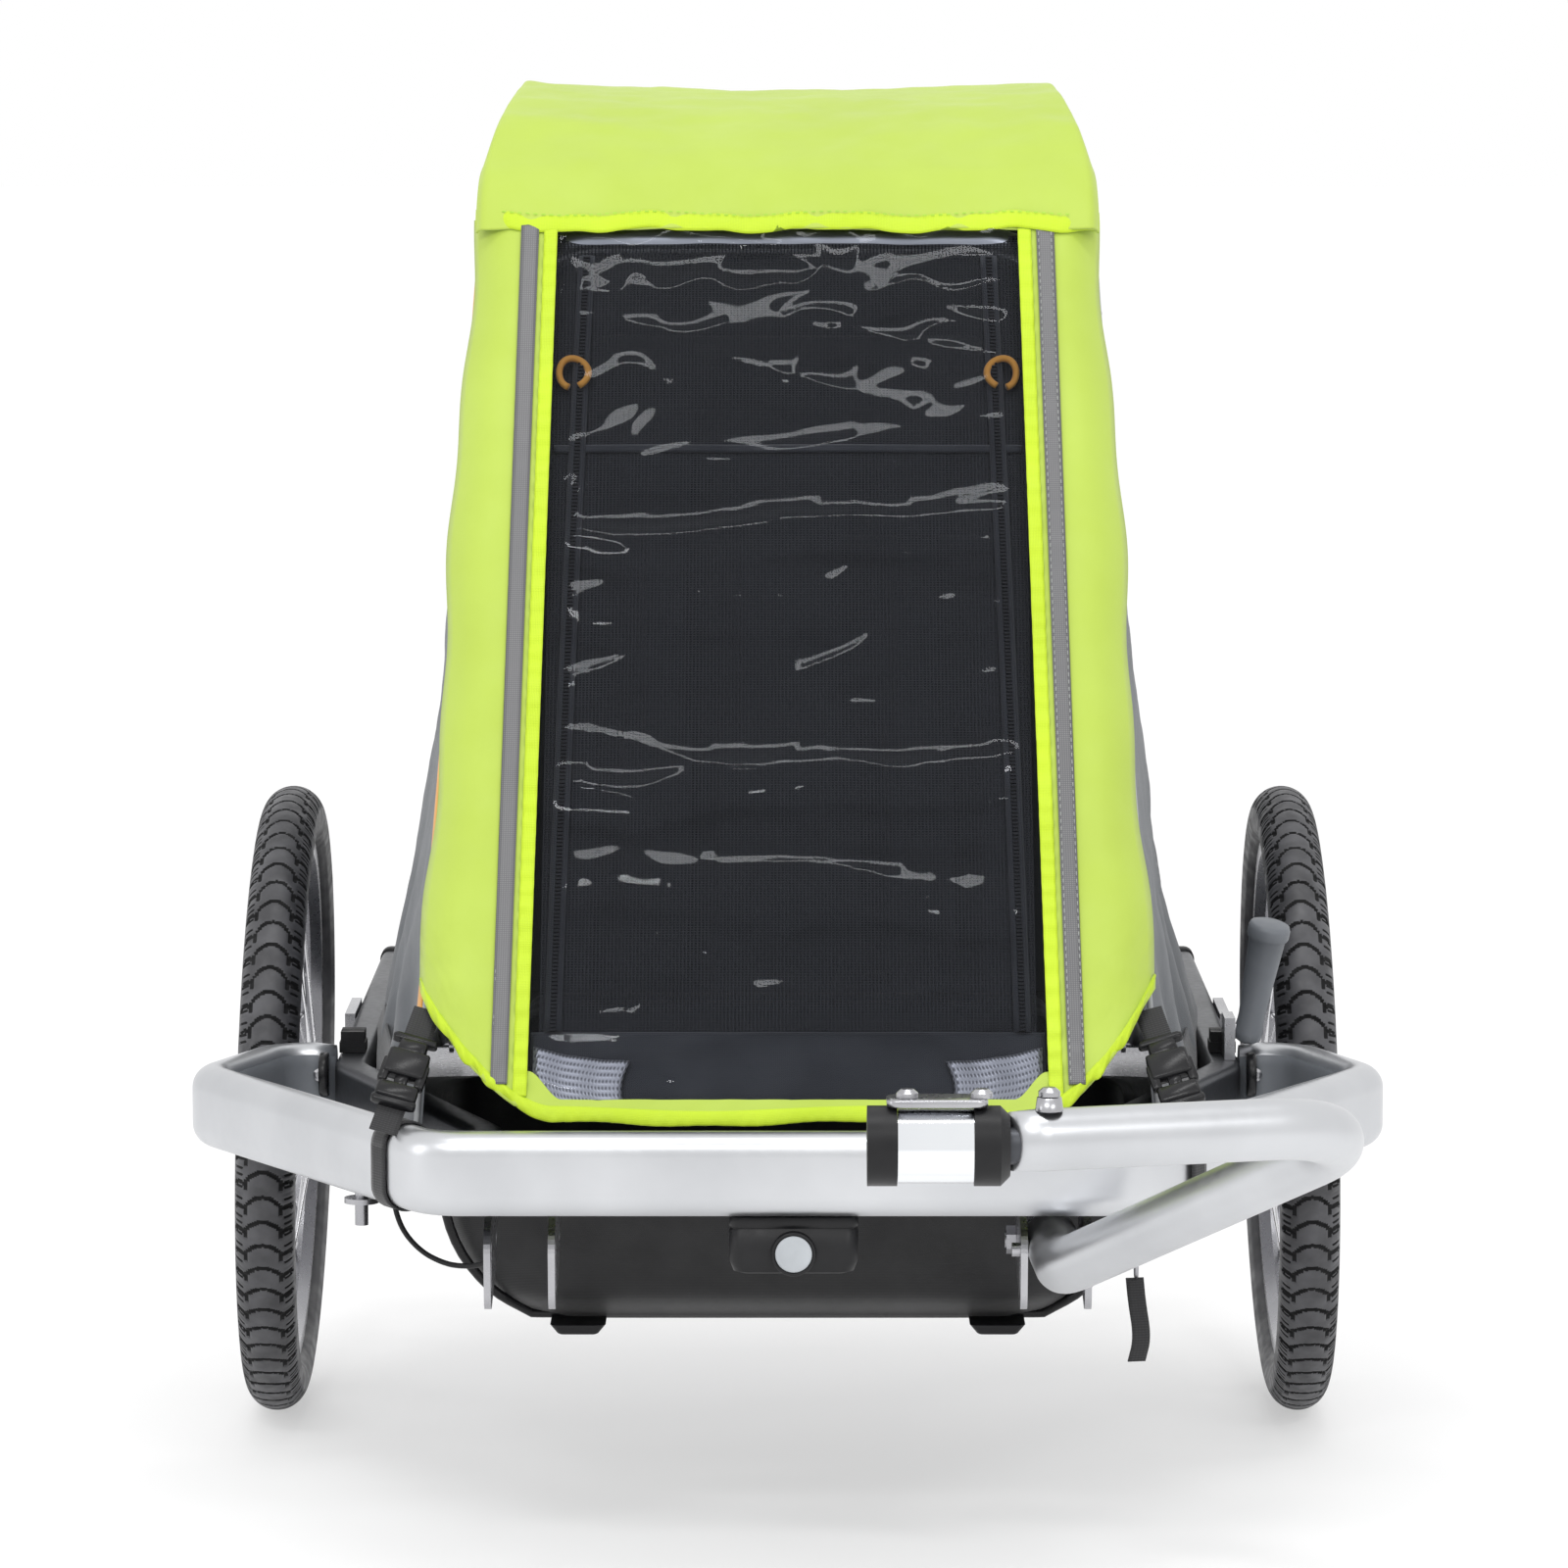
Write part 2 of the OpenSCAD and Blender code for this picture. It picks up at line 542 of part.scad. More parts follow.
module brake_lever() color("DimGray") shifted() difference() {
    translate([lever_c.x, lever_c.y, lever_c.z + 10]) {
        x_rod(-10, 10, 0, 0, 12);
        rotate([0, lever_lean, 0]) {
            cylinder(r1 = 10, r2 = 14, h = lever_len - 20);
            translate([0, 0, lever_len - 20]) cylinder(r = 16, h = 8);
            translate([0, 0, lever_len - 12]) cylinder(r1 = 16, r2 = 12, h = 3);
        }
    }
    x_rod(lever_c.x - 11, lever_c.x + 11, lever_c.y, lever_c.z + 10, 4 + fit);
}

cable_route = [[339.5, -262, 338], [346, -259, 340], [352, -247, 338], [356, -228, 331], [357, -205, 321],
               [357, -175, 311], [357, -145, 303], [356, -115, 298], [353, -88, 294], [349, -66, 291],
               [347, -45.4, 290]];
module brake_cable() color("#111111") shifted() swept_tube(cable_route, 2, 8);

// ---------- straps ----------

bumper_side = unit(bumper_half[2] - bumper_half[3]);
strap_c = bumper_half[3] + 45 * bumper_side;
strap_turn = atan2(bumper_side.y, bumper_side.x);
strap_a = [-284, -653, 337];
strap_b = [-268, -596, 376];
module strap_line(from, to, t0, t1, w, t) {
    d = unit(to - from);
    side = [1, 0, 0];
    frame_at(lerp(from, to, t0), side, unit(cross(d, side)), d)
        linear_extrude(norm(to - from) * (t1 - t0)) square([w, t], center = true);
}
module cover_straps() color("#161616") shifted() both_sides() {
    translate(strap_c) rotate([0, 0, strap_turn]) rotate([90, 0, 90]) translate([0, 0, -strap_w / 2])
        linear_extrude(strap_w) difference() {
            rounded_rect(bumper_d + 5, bumper_h + 5, bumper_corner);
            rounded_rect(bumper_d + 1, bumper_h + 1, bumper_corner - 2);
        }
    strap_line(strap_a, strap_b, 0, 0.115, strap_w, 1.6);
    strap_line(strap_a, strap_b, 0.905, 1, strap_w, 1.6);
}
module strap_buckles() color("#0f0f0f") shifted() both_sides() {
    strap_line(strap_a, strap_b, 0.12, 0.5, 29, 7);
    strap_line(strap_a, strap_b, 0.505, 0.9, 27, 6);
}

// ---------- fabric body ----------

cover_rows = len(cover_route);
function cover_tangent(i) = unit(cover_route[min(i + 1, cover_rows - 1)] - cover_route[max(i - 1, 0)]);
function cover_inward(i) = let (t = cover_tangent(i)) [t.y, -t.x];
function cover_half(i) = let (z = cover_route[i].y) z < 956
    ? lerp(cover_hem_w, cover_top_w, (z - 344) / 612)
    : cover_top_w - 26 * pow(min(1, (z - 956) / 100), 1.5);
function cover_grid(depth) = [for (i = [0:cover_rows - 1]) let (n = cover_inward(i), w = cover_half(i))
    [for (rib = cover_ribs) let (edge = abs(rib.x) > 0.99 ? depth : 0, d = rib.y + (edge > 0 ? 0 : depth),
                                 lift = i == 0 ? hem_lift * pow(abs(rib.x), 6) : 0,
                                 p = cover_route[i] + n * d + cover_tangent(i) * lift)
        [rib.x * w - sign(rib.x) * edge, p.x, p.y]]];

window_w0 = 168;     // half width of the window opening at its top
window_w1 = 186;     // half width at its bottom
window_t = 1.2;
mesh_t = 1.5;
window_back = cloth_t + 0.5 + window_t;
cover_low = [-640, 344];
cover_high = [-232, 956];
cover_dir = unit(cover_high - cover_low);
cover_len = norm(cover_high - cover_low);
// Places its children on the plane of the front, y up the slope and z outward
module on_front(depth) frame_at([0, cover_low.x + cover_dir.y * depth, cover_low.y - cover_dir.x * depth],
    [1, 0, 0], [0, cover_dir.x, cover_dir.y], [0, -cover_dir.y, cover_dir.x]) children();
module window_outline(grow) polygon([[-window_w1 - grow, 34 - grow], [window_w1 + grow, 34 - grow],
    [window_w0 + grow, cover_len - 16 + grow], [-window_w0 - grow, cover_len - 16 + grow]]);

module rain_cover() color("YellowGreen") shifted() difference() {
    sheet_solid(cover_grid(0), cover_grid(cloth_t));
    on_front(0) translate([0, 0, -20]) linear_extrude(40) window_outline(0);
}
module clear_window() color("LightBlue", 0.5) shifted()
    on_front(window_back) linear_extrude(window_t) window_outline(10);
module mesh_screen() color("#2a2c30") shifted()
    on_front(window_back + seat + mesh_t) linear_extrude(mesh_t) intersection() {
        window_outline(22);
        translate([-300, 0]) square([600, cover_len - 45]);
    }

function side_x(z, k) = let (front = lerp(cover_hem_w, cover_top_w, (z - 344) / 612) - 8,
        low = z < 590 ? lerp(317, 267, pow((z - 330) / 260, 0.8)) : lerp(267, cover_top_w - 7, (z - 590) / 370),
        rear = low - 8) k == 0 ? front : k == 1 ? lerp(front, low, 0.6) : k == 2 ? low : rear;
function side_y(z, k) = let (front = cover_low.x + (z - 344) * cover_dir.x / cover_dir.y + 36,
        hoop = max(-60 - 0.24 * (z - rail_z), front + 14), rear = 112 - 0.054 * (z - rail_z))
    k == 0 ? front : k == 1 ? lerp(front, hoop, 0.5) : k == 2 ? hoop : rear;
side_levels = [346, 440, 590, 945];
function side_grid(inset) = [for (z = side_levels) [for (k = [0:3]) [-side_x(z, k) + inset, side_y(z, k), z]]];
module side_panel() sheet_solid(side_grid(cloth_t), side_grid(0));
module side_panel_left() color("SlateGray") shifted() side_panel();
module side_panel_right() color("SlateGray") shifted() mirror([1, 0, 0]) side_panel();

function rear_y_at(z) = rear_pivot.x + (rear_top.x - rear_pivot.x) * (z - rail_z) / (roof_z - rail_z);
function rear_x_at(z) = rear_pivot_x - (rear_pivot_x - rear_top_x) * max(0, z - rail_z - knee)
    / (roof_z - rail_z - knee) - rear_hoop_r - 0.6;
rear_levels = [330, rail_z + knee, roof_z - 60];
module rear_panel() color("SlateGray") shifted()
    sheet_solid([for (z = rear_levels) [for (s = [-1, 1]) [s * rear_x_at(z), rear_y_at(z) + cloth_t / 2, z]]],
                [for (z = rear_levels) [for (s = [-1, 1]) [s * rear_x_at(z), rear_y_at(z) - cloth_t / 2, z]]]);

board_top = axle_z + axle_tube_r + seat + 4;
module luggage_bag() color("DarkSlateGray") shifted() hull() {
    translate([-225, 122, board_top + seat]) cube([450, 148, 20]);
    translate([-205, 118, 590]) cube([410, 90, 10]);
}
seat_base_x = rear_pivot_x - rear_hoop_r - 20; // the folded rear hoop passes on each side
module seat_base() color("#3a3d42") shifted()
    translate([-seat_base_x, -86, board_top + seat]) cube([2 * seat_base_x, 130, 62]);
module seat_back() color("#3a3d42") shifted() hull() {
    translate([-205, 47.4, board_top + seat + 4]) cube([410, 30, 10]);
    translate([-160, 18, 860]) cube([320, 26, 10]);
}

// ---------- wheels ----------

module tyre() rotate([0, 90, 0]) rotate_extrude($fn = 96) translate([wheel_d / 2 - tyre_r, 0])
    difference() {
        circle(tyre_r);
        circle(tyre_r - 3.5);
        translate([-tyre_w - (wheel_d / 2 - tyre_r - bead_r) + 4, -tyre_w]) square([tyre_w, 2 * tyre_w]);
    }

module rim() rotate([0, 90, 0]) rotate_extrude($fn = 96) difference() {
    polygon([[bead_r - 19, -6], [bead_r - 12, -rim_half + 2], [bead_r + 6, -rim_half + 2],
             [bead_r + 6, rim_half - 2], [bead_r - 12, rim_half - 2], [bead_r - 19, 6]]);
    translate([bead_r - 6, -rim_half + 3.5]) square([14, 2 * rim_half - 7]);
}

flange_r = 26;
spoke_out = 2.9;     // distance of each spoke's head from its flange's middle
module spokes() for (i = [0:spoke_count - 1]) {
    s = i % 2 == 0 ? 1 : -1;
    a = 360 * i / spoke_count;
    lead = (floor(i / 2) % 2 == 0 ? 1 : -1) * 38;
    from = [s * (hub_len / 2 - 4.5) + (lead > 0 ? spoke_out : -spoke_out),
            (flange_r - 2) * cos(a + lead), (flange_r - 2) * sin(a + lead)];
    to = [0, (bead_r - 19.2) * cos(a), (bead_r - 19.2) * sin(a)];
    d = to - from;
    frame_at(from, unit(cross([1, 0, 0], d)), unit(cross(d, cross([1, 0, 0], d))), unit(d)) {
        cylinder(r = 1, h = norm(d) - 11, $fn = 16);
        translate([0, 0, norm(d) - 12]) cylinder(r = 2, h = 12, $fn = 16);
    }
}

module hub() difference() {
    union() {
        x_rod(-hub_len / 2, hub_len / 2, 0, 0, 15);
        for (s = [-1, 1]) x_rod(s * (hub_len / 2 - 4.5) - 1, s * (hub_len / 2 - 4.5) + 1, 0, 0, flange_r);
    }
    x_rod(-hub_len / 2 - 1, hub_len / 2 + 1, 0, 0, axle_pin_r + fit);
}

module valve() rotate([6, 0, 0]) translate([0, 0, bead_r - 55]) cylinder(r = 3, h = 35.8);

module left_tyre() color("#2b2b2b") at_wheel(-1) tyre();
module left_rim() color("Silver") at_wheel(-1) rim();
module left_spokes() color("LightGray") at_wheel(-1) spokes();
module left_hub() color("Gray") at_wheel(-1) hub();
module left_valve() color("#222222") at_wheel(-1) valve();
module right_tyre() color("#2b2b2b") at_wheel(1) tyre();
module right_rim() color("Silver") at_wheel(1) rim();
module right_spokes() color("LightGray") at_wheel(1) spokes();
module right_hub() color("Gray") at_wheel(1) hub();
module right_valve() color("#222222") at_wheel(1) valve();

bumper();
bumper_bolts();
side_rail_left();
side_rail_right();
front_crossbar();
rear_crossbar();
axle_tube();
axle_plates();
axle_pins();
rail_clips();
rail_studs();
retaining_wire();
floor_tub();
floor_feet();
seat_board();
jogger_socket();
socket_button();
hook_plates_left();
hook_plates_right();
pivot_bolt();
drawbar();
hitch_yoke();
hitch_core();
hitch_caps();
hitch_bolts();
hitch_sleeve();
lock_pin();
lock_ring();
hinge_bosses();
hinge_pins();
front_hoop();
rear_hoop();
push_brackets();
push_pins();
push_bar();
push_grip();
brake_bracket();
brake_lever();
brake_cable();
cover_straps();
strap_buckles();
rain_cover();
clear_window();
mesh_screen();
side_panel_left();
side_panel_right();
rear_panel();
luggage_bag();
seat_base();
seat_back();
left_tyre();
left_rim();
left_spokes();
left_hub();
left_valve();
right_tyre();
right_rim();
right_spokes();
right_hub();
right_valve();
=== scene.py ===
import math

import bpy
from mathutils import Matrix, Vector, noise


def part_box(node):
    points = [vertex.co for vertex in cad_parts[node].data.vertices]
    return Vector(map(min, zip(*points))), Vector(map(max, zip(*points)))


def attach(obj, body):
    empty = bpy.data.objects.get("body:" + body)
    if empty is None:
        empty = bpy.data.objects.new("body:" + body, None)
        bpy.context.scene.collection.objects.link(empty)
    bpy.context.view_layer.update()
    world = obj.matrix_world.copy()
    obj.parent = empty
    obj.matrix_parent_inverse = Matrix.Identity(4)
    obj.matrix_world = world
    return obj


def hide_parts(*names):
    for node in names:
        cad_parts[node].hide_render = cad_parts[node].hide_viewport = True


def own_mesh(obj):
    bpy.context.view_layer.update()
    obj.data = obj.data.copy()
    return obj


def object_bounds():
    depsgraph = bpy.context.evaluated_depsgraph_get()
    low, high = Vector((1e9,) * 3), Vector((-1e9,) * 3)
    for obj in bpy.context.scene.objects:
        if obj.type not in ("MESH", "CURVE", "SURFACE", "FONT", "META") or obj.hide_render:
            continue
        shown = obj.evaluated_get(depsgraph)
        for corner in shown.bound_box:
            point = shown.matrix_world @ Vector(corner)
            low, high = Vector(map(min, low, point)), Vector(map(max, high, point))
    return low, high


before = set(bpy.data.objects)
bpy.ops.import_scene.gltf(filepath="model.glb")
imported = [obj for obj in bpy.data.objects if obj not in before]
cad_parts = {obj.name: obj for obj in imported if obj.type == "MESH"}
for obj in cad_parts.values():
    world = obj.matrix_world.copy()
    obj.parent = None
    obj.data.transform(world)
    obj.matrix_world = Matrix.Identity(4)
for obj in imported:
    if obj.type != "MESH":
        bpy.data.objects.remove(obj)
cad_box = [list(c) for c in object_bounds()]

# ---------------------------------------------------------------- places, from the frame
AXLE_LOW, AXLE_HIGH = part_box("axle_tube")
AXLE_Y = (AXLE_LOW[1] + AXLE_HIGH[1]) / 2

# driving dimensions of part.scad, in mm from the axle's middle on the ground
RAIL_MM = 304  # height of the rails' middle line, and of the hoops' pivots
RAIL_X = 330  # from the middle to each rail's middle line
KNEE = 36  # straight stretch of each hoop's leg above its pivot
FRONT_PIVOT, FRONT_TOP = (280, -60, RAIL_MM), (205, -215, 940)
REAR_PIVOT, REAR_TOP = (253, 100, RAIL_MM), (190, 60, 1042.5)
WHEEL_R = 250
TYRE_SECTION_R = 23
CAMBER = math.radians(1.5)
PUSH_X, GRIP_Y, GRIP_Z = 194.2, 430, 960
SIDES = (("left", -1), ("right", 1))
UP = Vector((0, 0, 1))


def at(x, y, z):
    """A point in the row frame from millimetres measured from the axle's middle on the ground."""
    return Vector((x / 1000, AXLE_Y + y / 1000, z / 1000))


# ---------------------------------------------------------------- camera, light and floor
def build_stage():
    cam = bpy.data.objects.new("camera", bpy.data.cameras.new("camera"))
    cam.location = at(-2.75, -5432.3, 1110.4)
    cam.rotation_euler = (math.radians(90 - 6.387), 0, 0)
    cam.data.lens = 157.5
    cam.data.sensor_width = 36
    cam.data.clip_end = 100
    bpy.context.collection.objects.link(cam)
    bpy.context.scene.camera = cam
    bpy.context.scene.view_settings.view_transform = "Standard"

    world = bpy.data.worlds.new("studio")
    world.use_nodes = True
    world.node_tree.nodes["Background"].inputs[0].default_value = (1, 1, 1, 1)
    world.node_tree.nodes["Background"].inputs[1].default_value = 1.0
    bpy.context.scene.world = world

    def area(name, place, aim, size, power):
        light = bpy.data.lights.new(name, "AREA")
        light.shape = "RECTANGLE"
        light.size, light.size_y = size
        light.energy = power
        obj = bpy.data.objects.new(name, light)
        obj.location = place
        obj.rotation_euler = (Vector(aim) - Vector(place)).to_track_quat("-Z", "Y").to_euler()
        bpy.context.collection.objects.link(obj)

    area("key", (-1.2, -3.2, 3.5), (0, -0.2, 0.6), (1.6, 0.34), 40)
    area("fill", (1.7, -3.0, 2.6), (0, -0.2, 0.6), (1.2, 0.20), 20)
    area("top", (0.2, -0.8, 4.3), (0, 0, 0.5), (2.4, 0.36), 34)
    area("side", (-3.4, -1.4, 1.5), (0, 0, 0.5), (0.3, 1.8), 12)

    mesh = bpy.data.meshes.new("floor")
    r = 40
    mesh.from_pydata([(-r, -r, 0), (r, -r, 0), (r, r, 0), (-r, r, 0)], [], [(0, 1, 2, 3)])
    floor = bpy.data.objects.new("floor", mesh)
    floor.location.z = cad_box[0][2]
    bpy.context.collection.objects.link(floor)
    mat = bpy.data.materials.new("floor")
    mat.use_nodes = True
    mat.node_tree.nodes["Principled BSDF"].inputs["Base Color"].default_value = (0.52, 0.52, 0.52, 1)
    mat.node_tree.nodes["Principled BSDF"].inputs["Emission Color"].default_value = (1, 1, 1, 1)
    mat.node_tree.nodes["Principled BSDF"].inputs["Emission Strength"].default_value = 0.46
    mat.node_tree.nodes["Principled BSDF"].inputs["Roughness"].default_value = 0.9
    mesh.materials.append(mat)


# ---------------------------------------------------------------- materials
class Look:
    """A node material built up from one Principled shader."""

    def __init__(self, name, color, rough, metal=0.0, coat=0.0, sheen=0.0, ior=1.5):
        self.mat = bpy.data.materials.new(name)
        self.mat.use_nodes = True
        self.nodes = self.mat.node_tree.nodes
        self.links = self.mat.node_tree.links
        self.out = self.nodes["Material Output"]
        self.bsdf = self.nodes["Principled BSDF"]
        b = self.bsdf.inputs
        b["Base Color"].default_value = (*color, 1)
        b["Roughness"].default_value = rough
        b["Metallic"].default_value = metal
        b["Coat Weight"].default_value = coat
        b["Coat Roughness"].default_value = 0.12
        b["Sheen Weight"].default_value = sheen
        b["Sheen Roughness"].default_value = 0.45
        b["IOR"].default_value = ior
        self.height = None
        self.coords = self.nodes.new("ShaderNodeTexCoord")

    def node(self, kind, **values):
        n = self.nodes.new(kind)
        for key, value in values.items():
            setattr(n, key, value)
        return n

    def link(self, a, b):
        self.links.new(a, b)

    def noise(self, scale, detail=4, uv=False, stretch=(1, 1, 1)):
        mapping = self.node("ShaderNodeMapping")
        mapping.inputs["Scale"].default_value = stretch
        self.link(self.coords.outputs["UV" if uv else "Object"], mapping.inputs[0])
        n = self.node("ShaderNodeTexNoise")
        n.inputs["Scale"].default_value = scale
        n.inputs["Detail"].default_value = detail
        self.link(mapping.outputs[0], n.inputs["Vector"])
        return n.outputs["Fac"]

    def ramp(self, fac, low, high, a=0.35, b=0.65):
        r = self.node("ShaderNodeMapRange")
        r.inputs["From Min"].default_value = a
        r.inputs["From Max"].default_value = b
        r.inputs["To Min"].default_value = low
        r.inputs["To Max"].default_value = high
        self.link(fac, r.inputs["Value"])
        return r.outputs["Result"]

    def mix(self, fac, color_a, color_b, a=0.35, b=0.65):
        m = self.node("ShaderNodeMix", data_type="RGBA")
        self.link(self.ramp(fac, 0, 1, a, b), m.inputs["Factor"])
        m.inputs["A"].default_value = (*color_a, 1)
        m.inputs["B"].default_value = (*color_b, 1)
        return m.outputs["Result"]

    def math(self, op, a, b):
        m = self.node("ShaderNodeMath", operation=op)
        for i, v in enumerate((a, b)):
            if isinstance(v, (int, float)):
                m.inputs[i].default_value = v
            else:
                self.link(v, m.inputs[i])
        return m.outputs[0]

    def wave(self, period, axis, uv=True, offset=0.0):
        """A sine from 0 to 1 along one axis, with its period in metres."""
        sep = self.node("ShaderNodeSeparateXYZ")
        self.link(self.coords.outputs["UV" if uv else "Object"], sep.inputs[0])
        turned = self.math("ADD", self.math("MULTIPLY", sep.outputs[axis], 2 * math.pi / period), offset)
        return self.math("ADD", self.math("MULTIPLY", self.math("SINE", turned, 0), 0.5), 0.5)

    def color(self, socket):
        self.link(socket, self.bsdf.inputs["Base Color"])
        return self

    def rough(self, socket):
        self.link(socket, self.bsdf.inputs["Roughness"])
        return self

    def bump(self, height, distance, strength=1.0):
        b = self.node("ShaderNodeBump")
        b.inputs["Distance"].default_value = distance
        b.inputs["Strength"].default_value = strength
        self.link(height, b.inputs["Height"])
        if self.height is not None:
            self.link(self.height, b.inputs["Normal"])
        self.height = b.outputs[0]
        self.link(self.height, self.bsdf.inputs["Normal"])
        return self


def metal(name, color, dark, rough, grain=(1, 1, 1)):
    m = Look(name, color, rough, metal=1.0)
    fine = m.noise(160, 2, stretch=grain)
    m.color(m.mix(m.noise(9, 3), dark, color))
    m.rough(m.ramp(fine, rough * 0.95, rough * 1.06))
    m.bump(fine, 0.00001, 0.1)
    return m.mat


def plastic(name, color, rough, grain=900, depth=0.00012):
    m = Look(name, color, rough, ior=1.36)
    lighter = [min(1, c * 1.35 + 0.004) for c in color]
    m.color(m.mix(m.noise(14, 4), color, lighter))
    m.rough(m.ramp(m.noise(60, 3), rough * 0.85, min(1, rough * 1.15)))
    m.bump(m.noise(grain, 2), depth, 0.5)
    return m.mat


def cloth(name, color, shade, period, depth, rough=0.75, sheen=0.25, coat=0.0, soft=(7, 0.0012)):
    """Woven cloth: crossing threads on the UV map, which is in metres, and soft creases."""
    m = Look(name, color, rough, sheen=sheen, coat=coat)
    across, along = m.wave(period, 0), m.wave(period, 1)
    threads = m.math("MULTIPLY", across, along)
    m.color(m.mix(m.math("ADD", m.math("MULTIPLY", threads, 0.35), m.math("MULTIPLY", m.noise(11, 5), 0.65)),
                  shade, color, 0.25, 0.6))
    m.rough(m.ramp(m.noise(30, 3), rough - 0.06, rough + 0.06))
    m.bump(m.noise(soft[0] * 4, 5), soft[1], 0.5)
    m.bump(threads, depth, 0.6)
    return m.mat


def ribbed(name, color, period, depth):
    """Webbing: ribs across the strap and a fine grain along it."""
    m = Look(name, color, 0.7, sheen=0.2)
    ribs = m.math("MULTIPLY", m.wave(period, 1), m.ramp(m.wave(period * 1.3, 0), 0.5, 1, 0, 1))
    m.color(m.mix(ribs, [c * 0.5 for c in color], [c * 1.5 + 0.004 for c in color], 0, 1))
    m.bump(ribs, depth, 0.8)
    return m.mat


def tyre_look():
    m = Look("tyre_rubber", (0.028, 0.028, 0.03), 0.62, ior=1.5)
    m.color(m.mix(m.noise(45, 5), (0.04, 0.04, 0.044), (0.075, 0.075, 0.082)))
    m.rough(m.ramp(m.noise(80, 4), 0.4, 0.62))
    m.bump(m.noise(1400, 3), 0.00015, 0.5)
    return m.mat


def vinyl_look():
    """Clear film: see-through, with a gloss that grows at grazing angles."""
    m = Look("clear_vinyl", (0.7, 0.75, 0.8), 0.04)
    clear = m.node("ShaderNodeBsdfTransparent")
    clear.inputs[0].default_value = (0.68, 0.7, 0.75, 1)
    gloss = m.node("ShaderNodeBsdfGlossy")
    gloss.inputs["Roughness"].default_value = 0.03
    gloss.inputs["Color"].default_value = (0.95, 0.97, 1, 1)
    facing = m.node("ShaderNodeFresnel")
    facing.inputs["IOR"].default_value = 1.2
    bump = m.node("ShaderNodeBump")
    bump.inputs["Distance"].default_value = 0.0018
    bump.inputs["Strength"].default_value = 0.35
    m.link(m.noise(9, 3), bump.inputs["Height"])
    m.link(bump.outputs[0], gloss.inputs["Normal"])
    m.link(bump.outputs[0], facing.inputs["Normal"])
    mix = m.node("ShaderNodeMixShader")
    m.link(facing.outputs[0], mix.inputs[0])
    m.link(clear.outputs[0], mix.inputs[1])
    m.link(gloss.outputs[0], mix.inputs[2])
    m.link(mix.outputs[0], m.out.inputs[0])
    return m.mat


def net_look():
    """Dark insect mesh: a grid of threads with holes between them."""
    m = Look("net", (0.03, 0.033, 0.04), 0.7)
    period = 0.0026
    threads = m.math("MAXIMUM", m.wave(period, 0), m.wave(period * 0.8, 1))
    m.color(m.mix(threads, (0.001, 0.001, 0.0012), (0.009, 0.010, 0.014), 0.45, 1.0))
    m.bump(threads, 0.0003, 0.8)
    see = m.ramp(threads, 0.45, 1, 0.5, 0.8)
    m.link(see, m.bsdf.inputs["Alpha"])
    return m.mat


def stripe_look():
    m = Look("reflective_tape", (0.16, 0.16, 0.165), 0.42, metal=0.2)
    cells = m.math("MULTIPLY", m.wave(0.0016, 0), m.wave(0.0016, 1))
    m.color(m.mix(cells, (0.10, 0.10, 0.105), (0.20, 0.20, 0.205), 0, 1))
    m.bump(cells, 0.0001, 0.5)
    return m.mat


def dots_look():
    m = Look("reflective_patch", (0.5, 0.5, 0.52), 0.35, metal=0.6)
    cells = m.math("MULTIPLY", m.wave(0.0026, 0), m.wave(0.0052, 1))
    m.color(m.mix(cells, (0.42, 0.42, 0.44), (0.16, 0.16, 0.17), 0.1, 0.8))
    m.bump(cells, 0.0004, 0.6)
    return m.mat


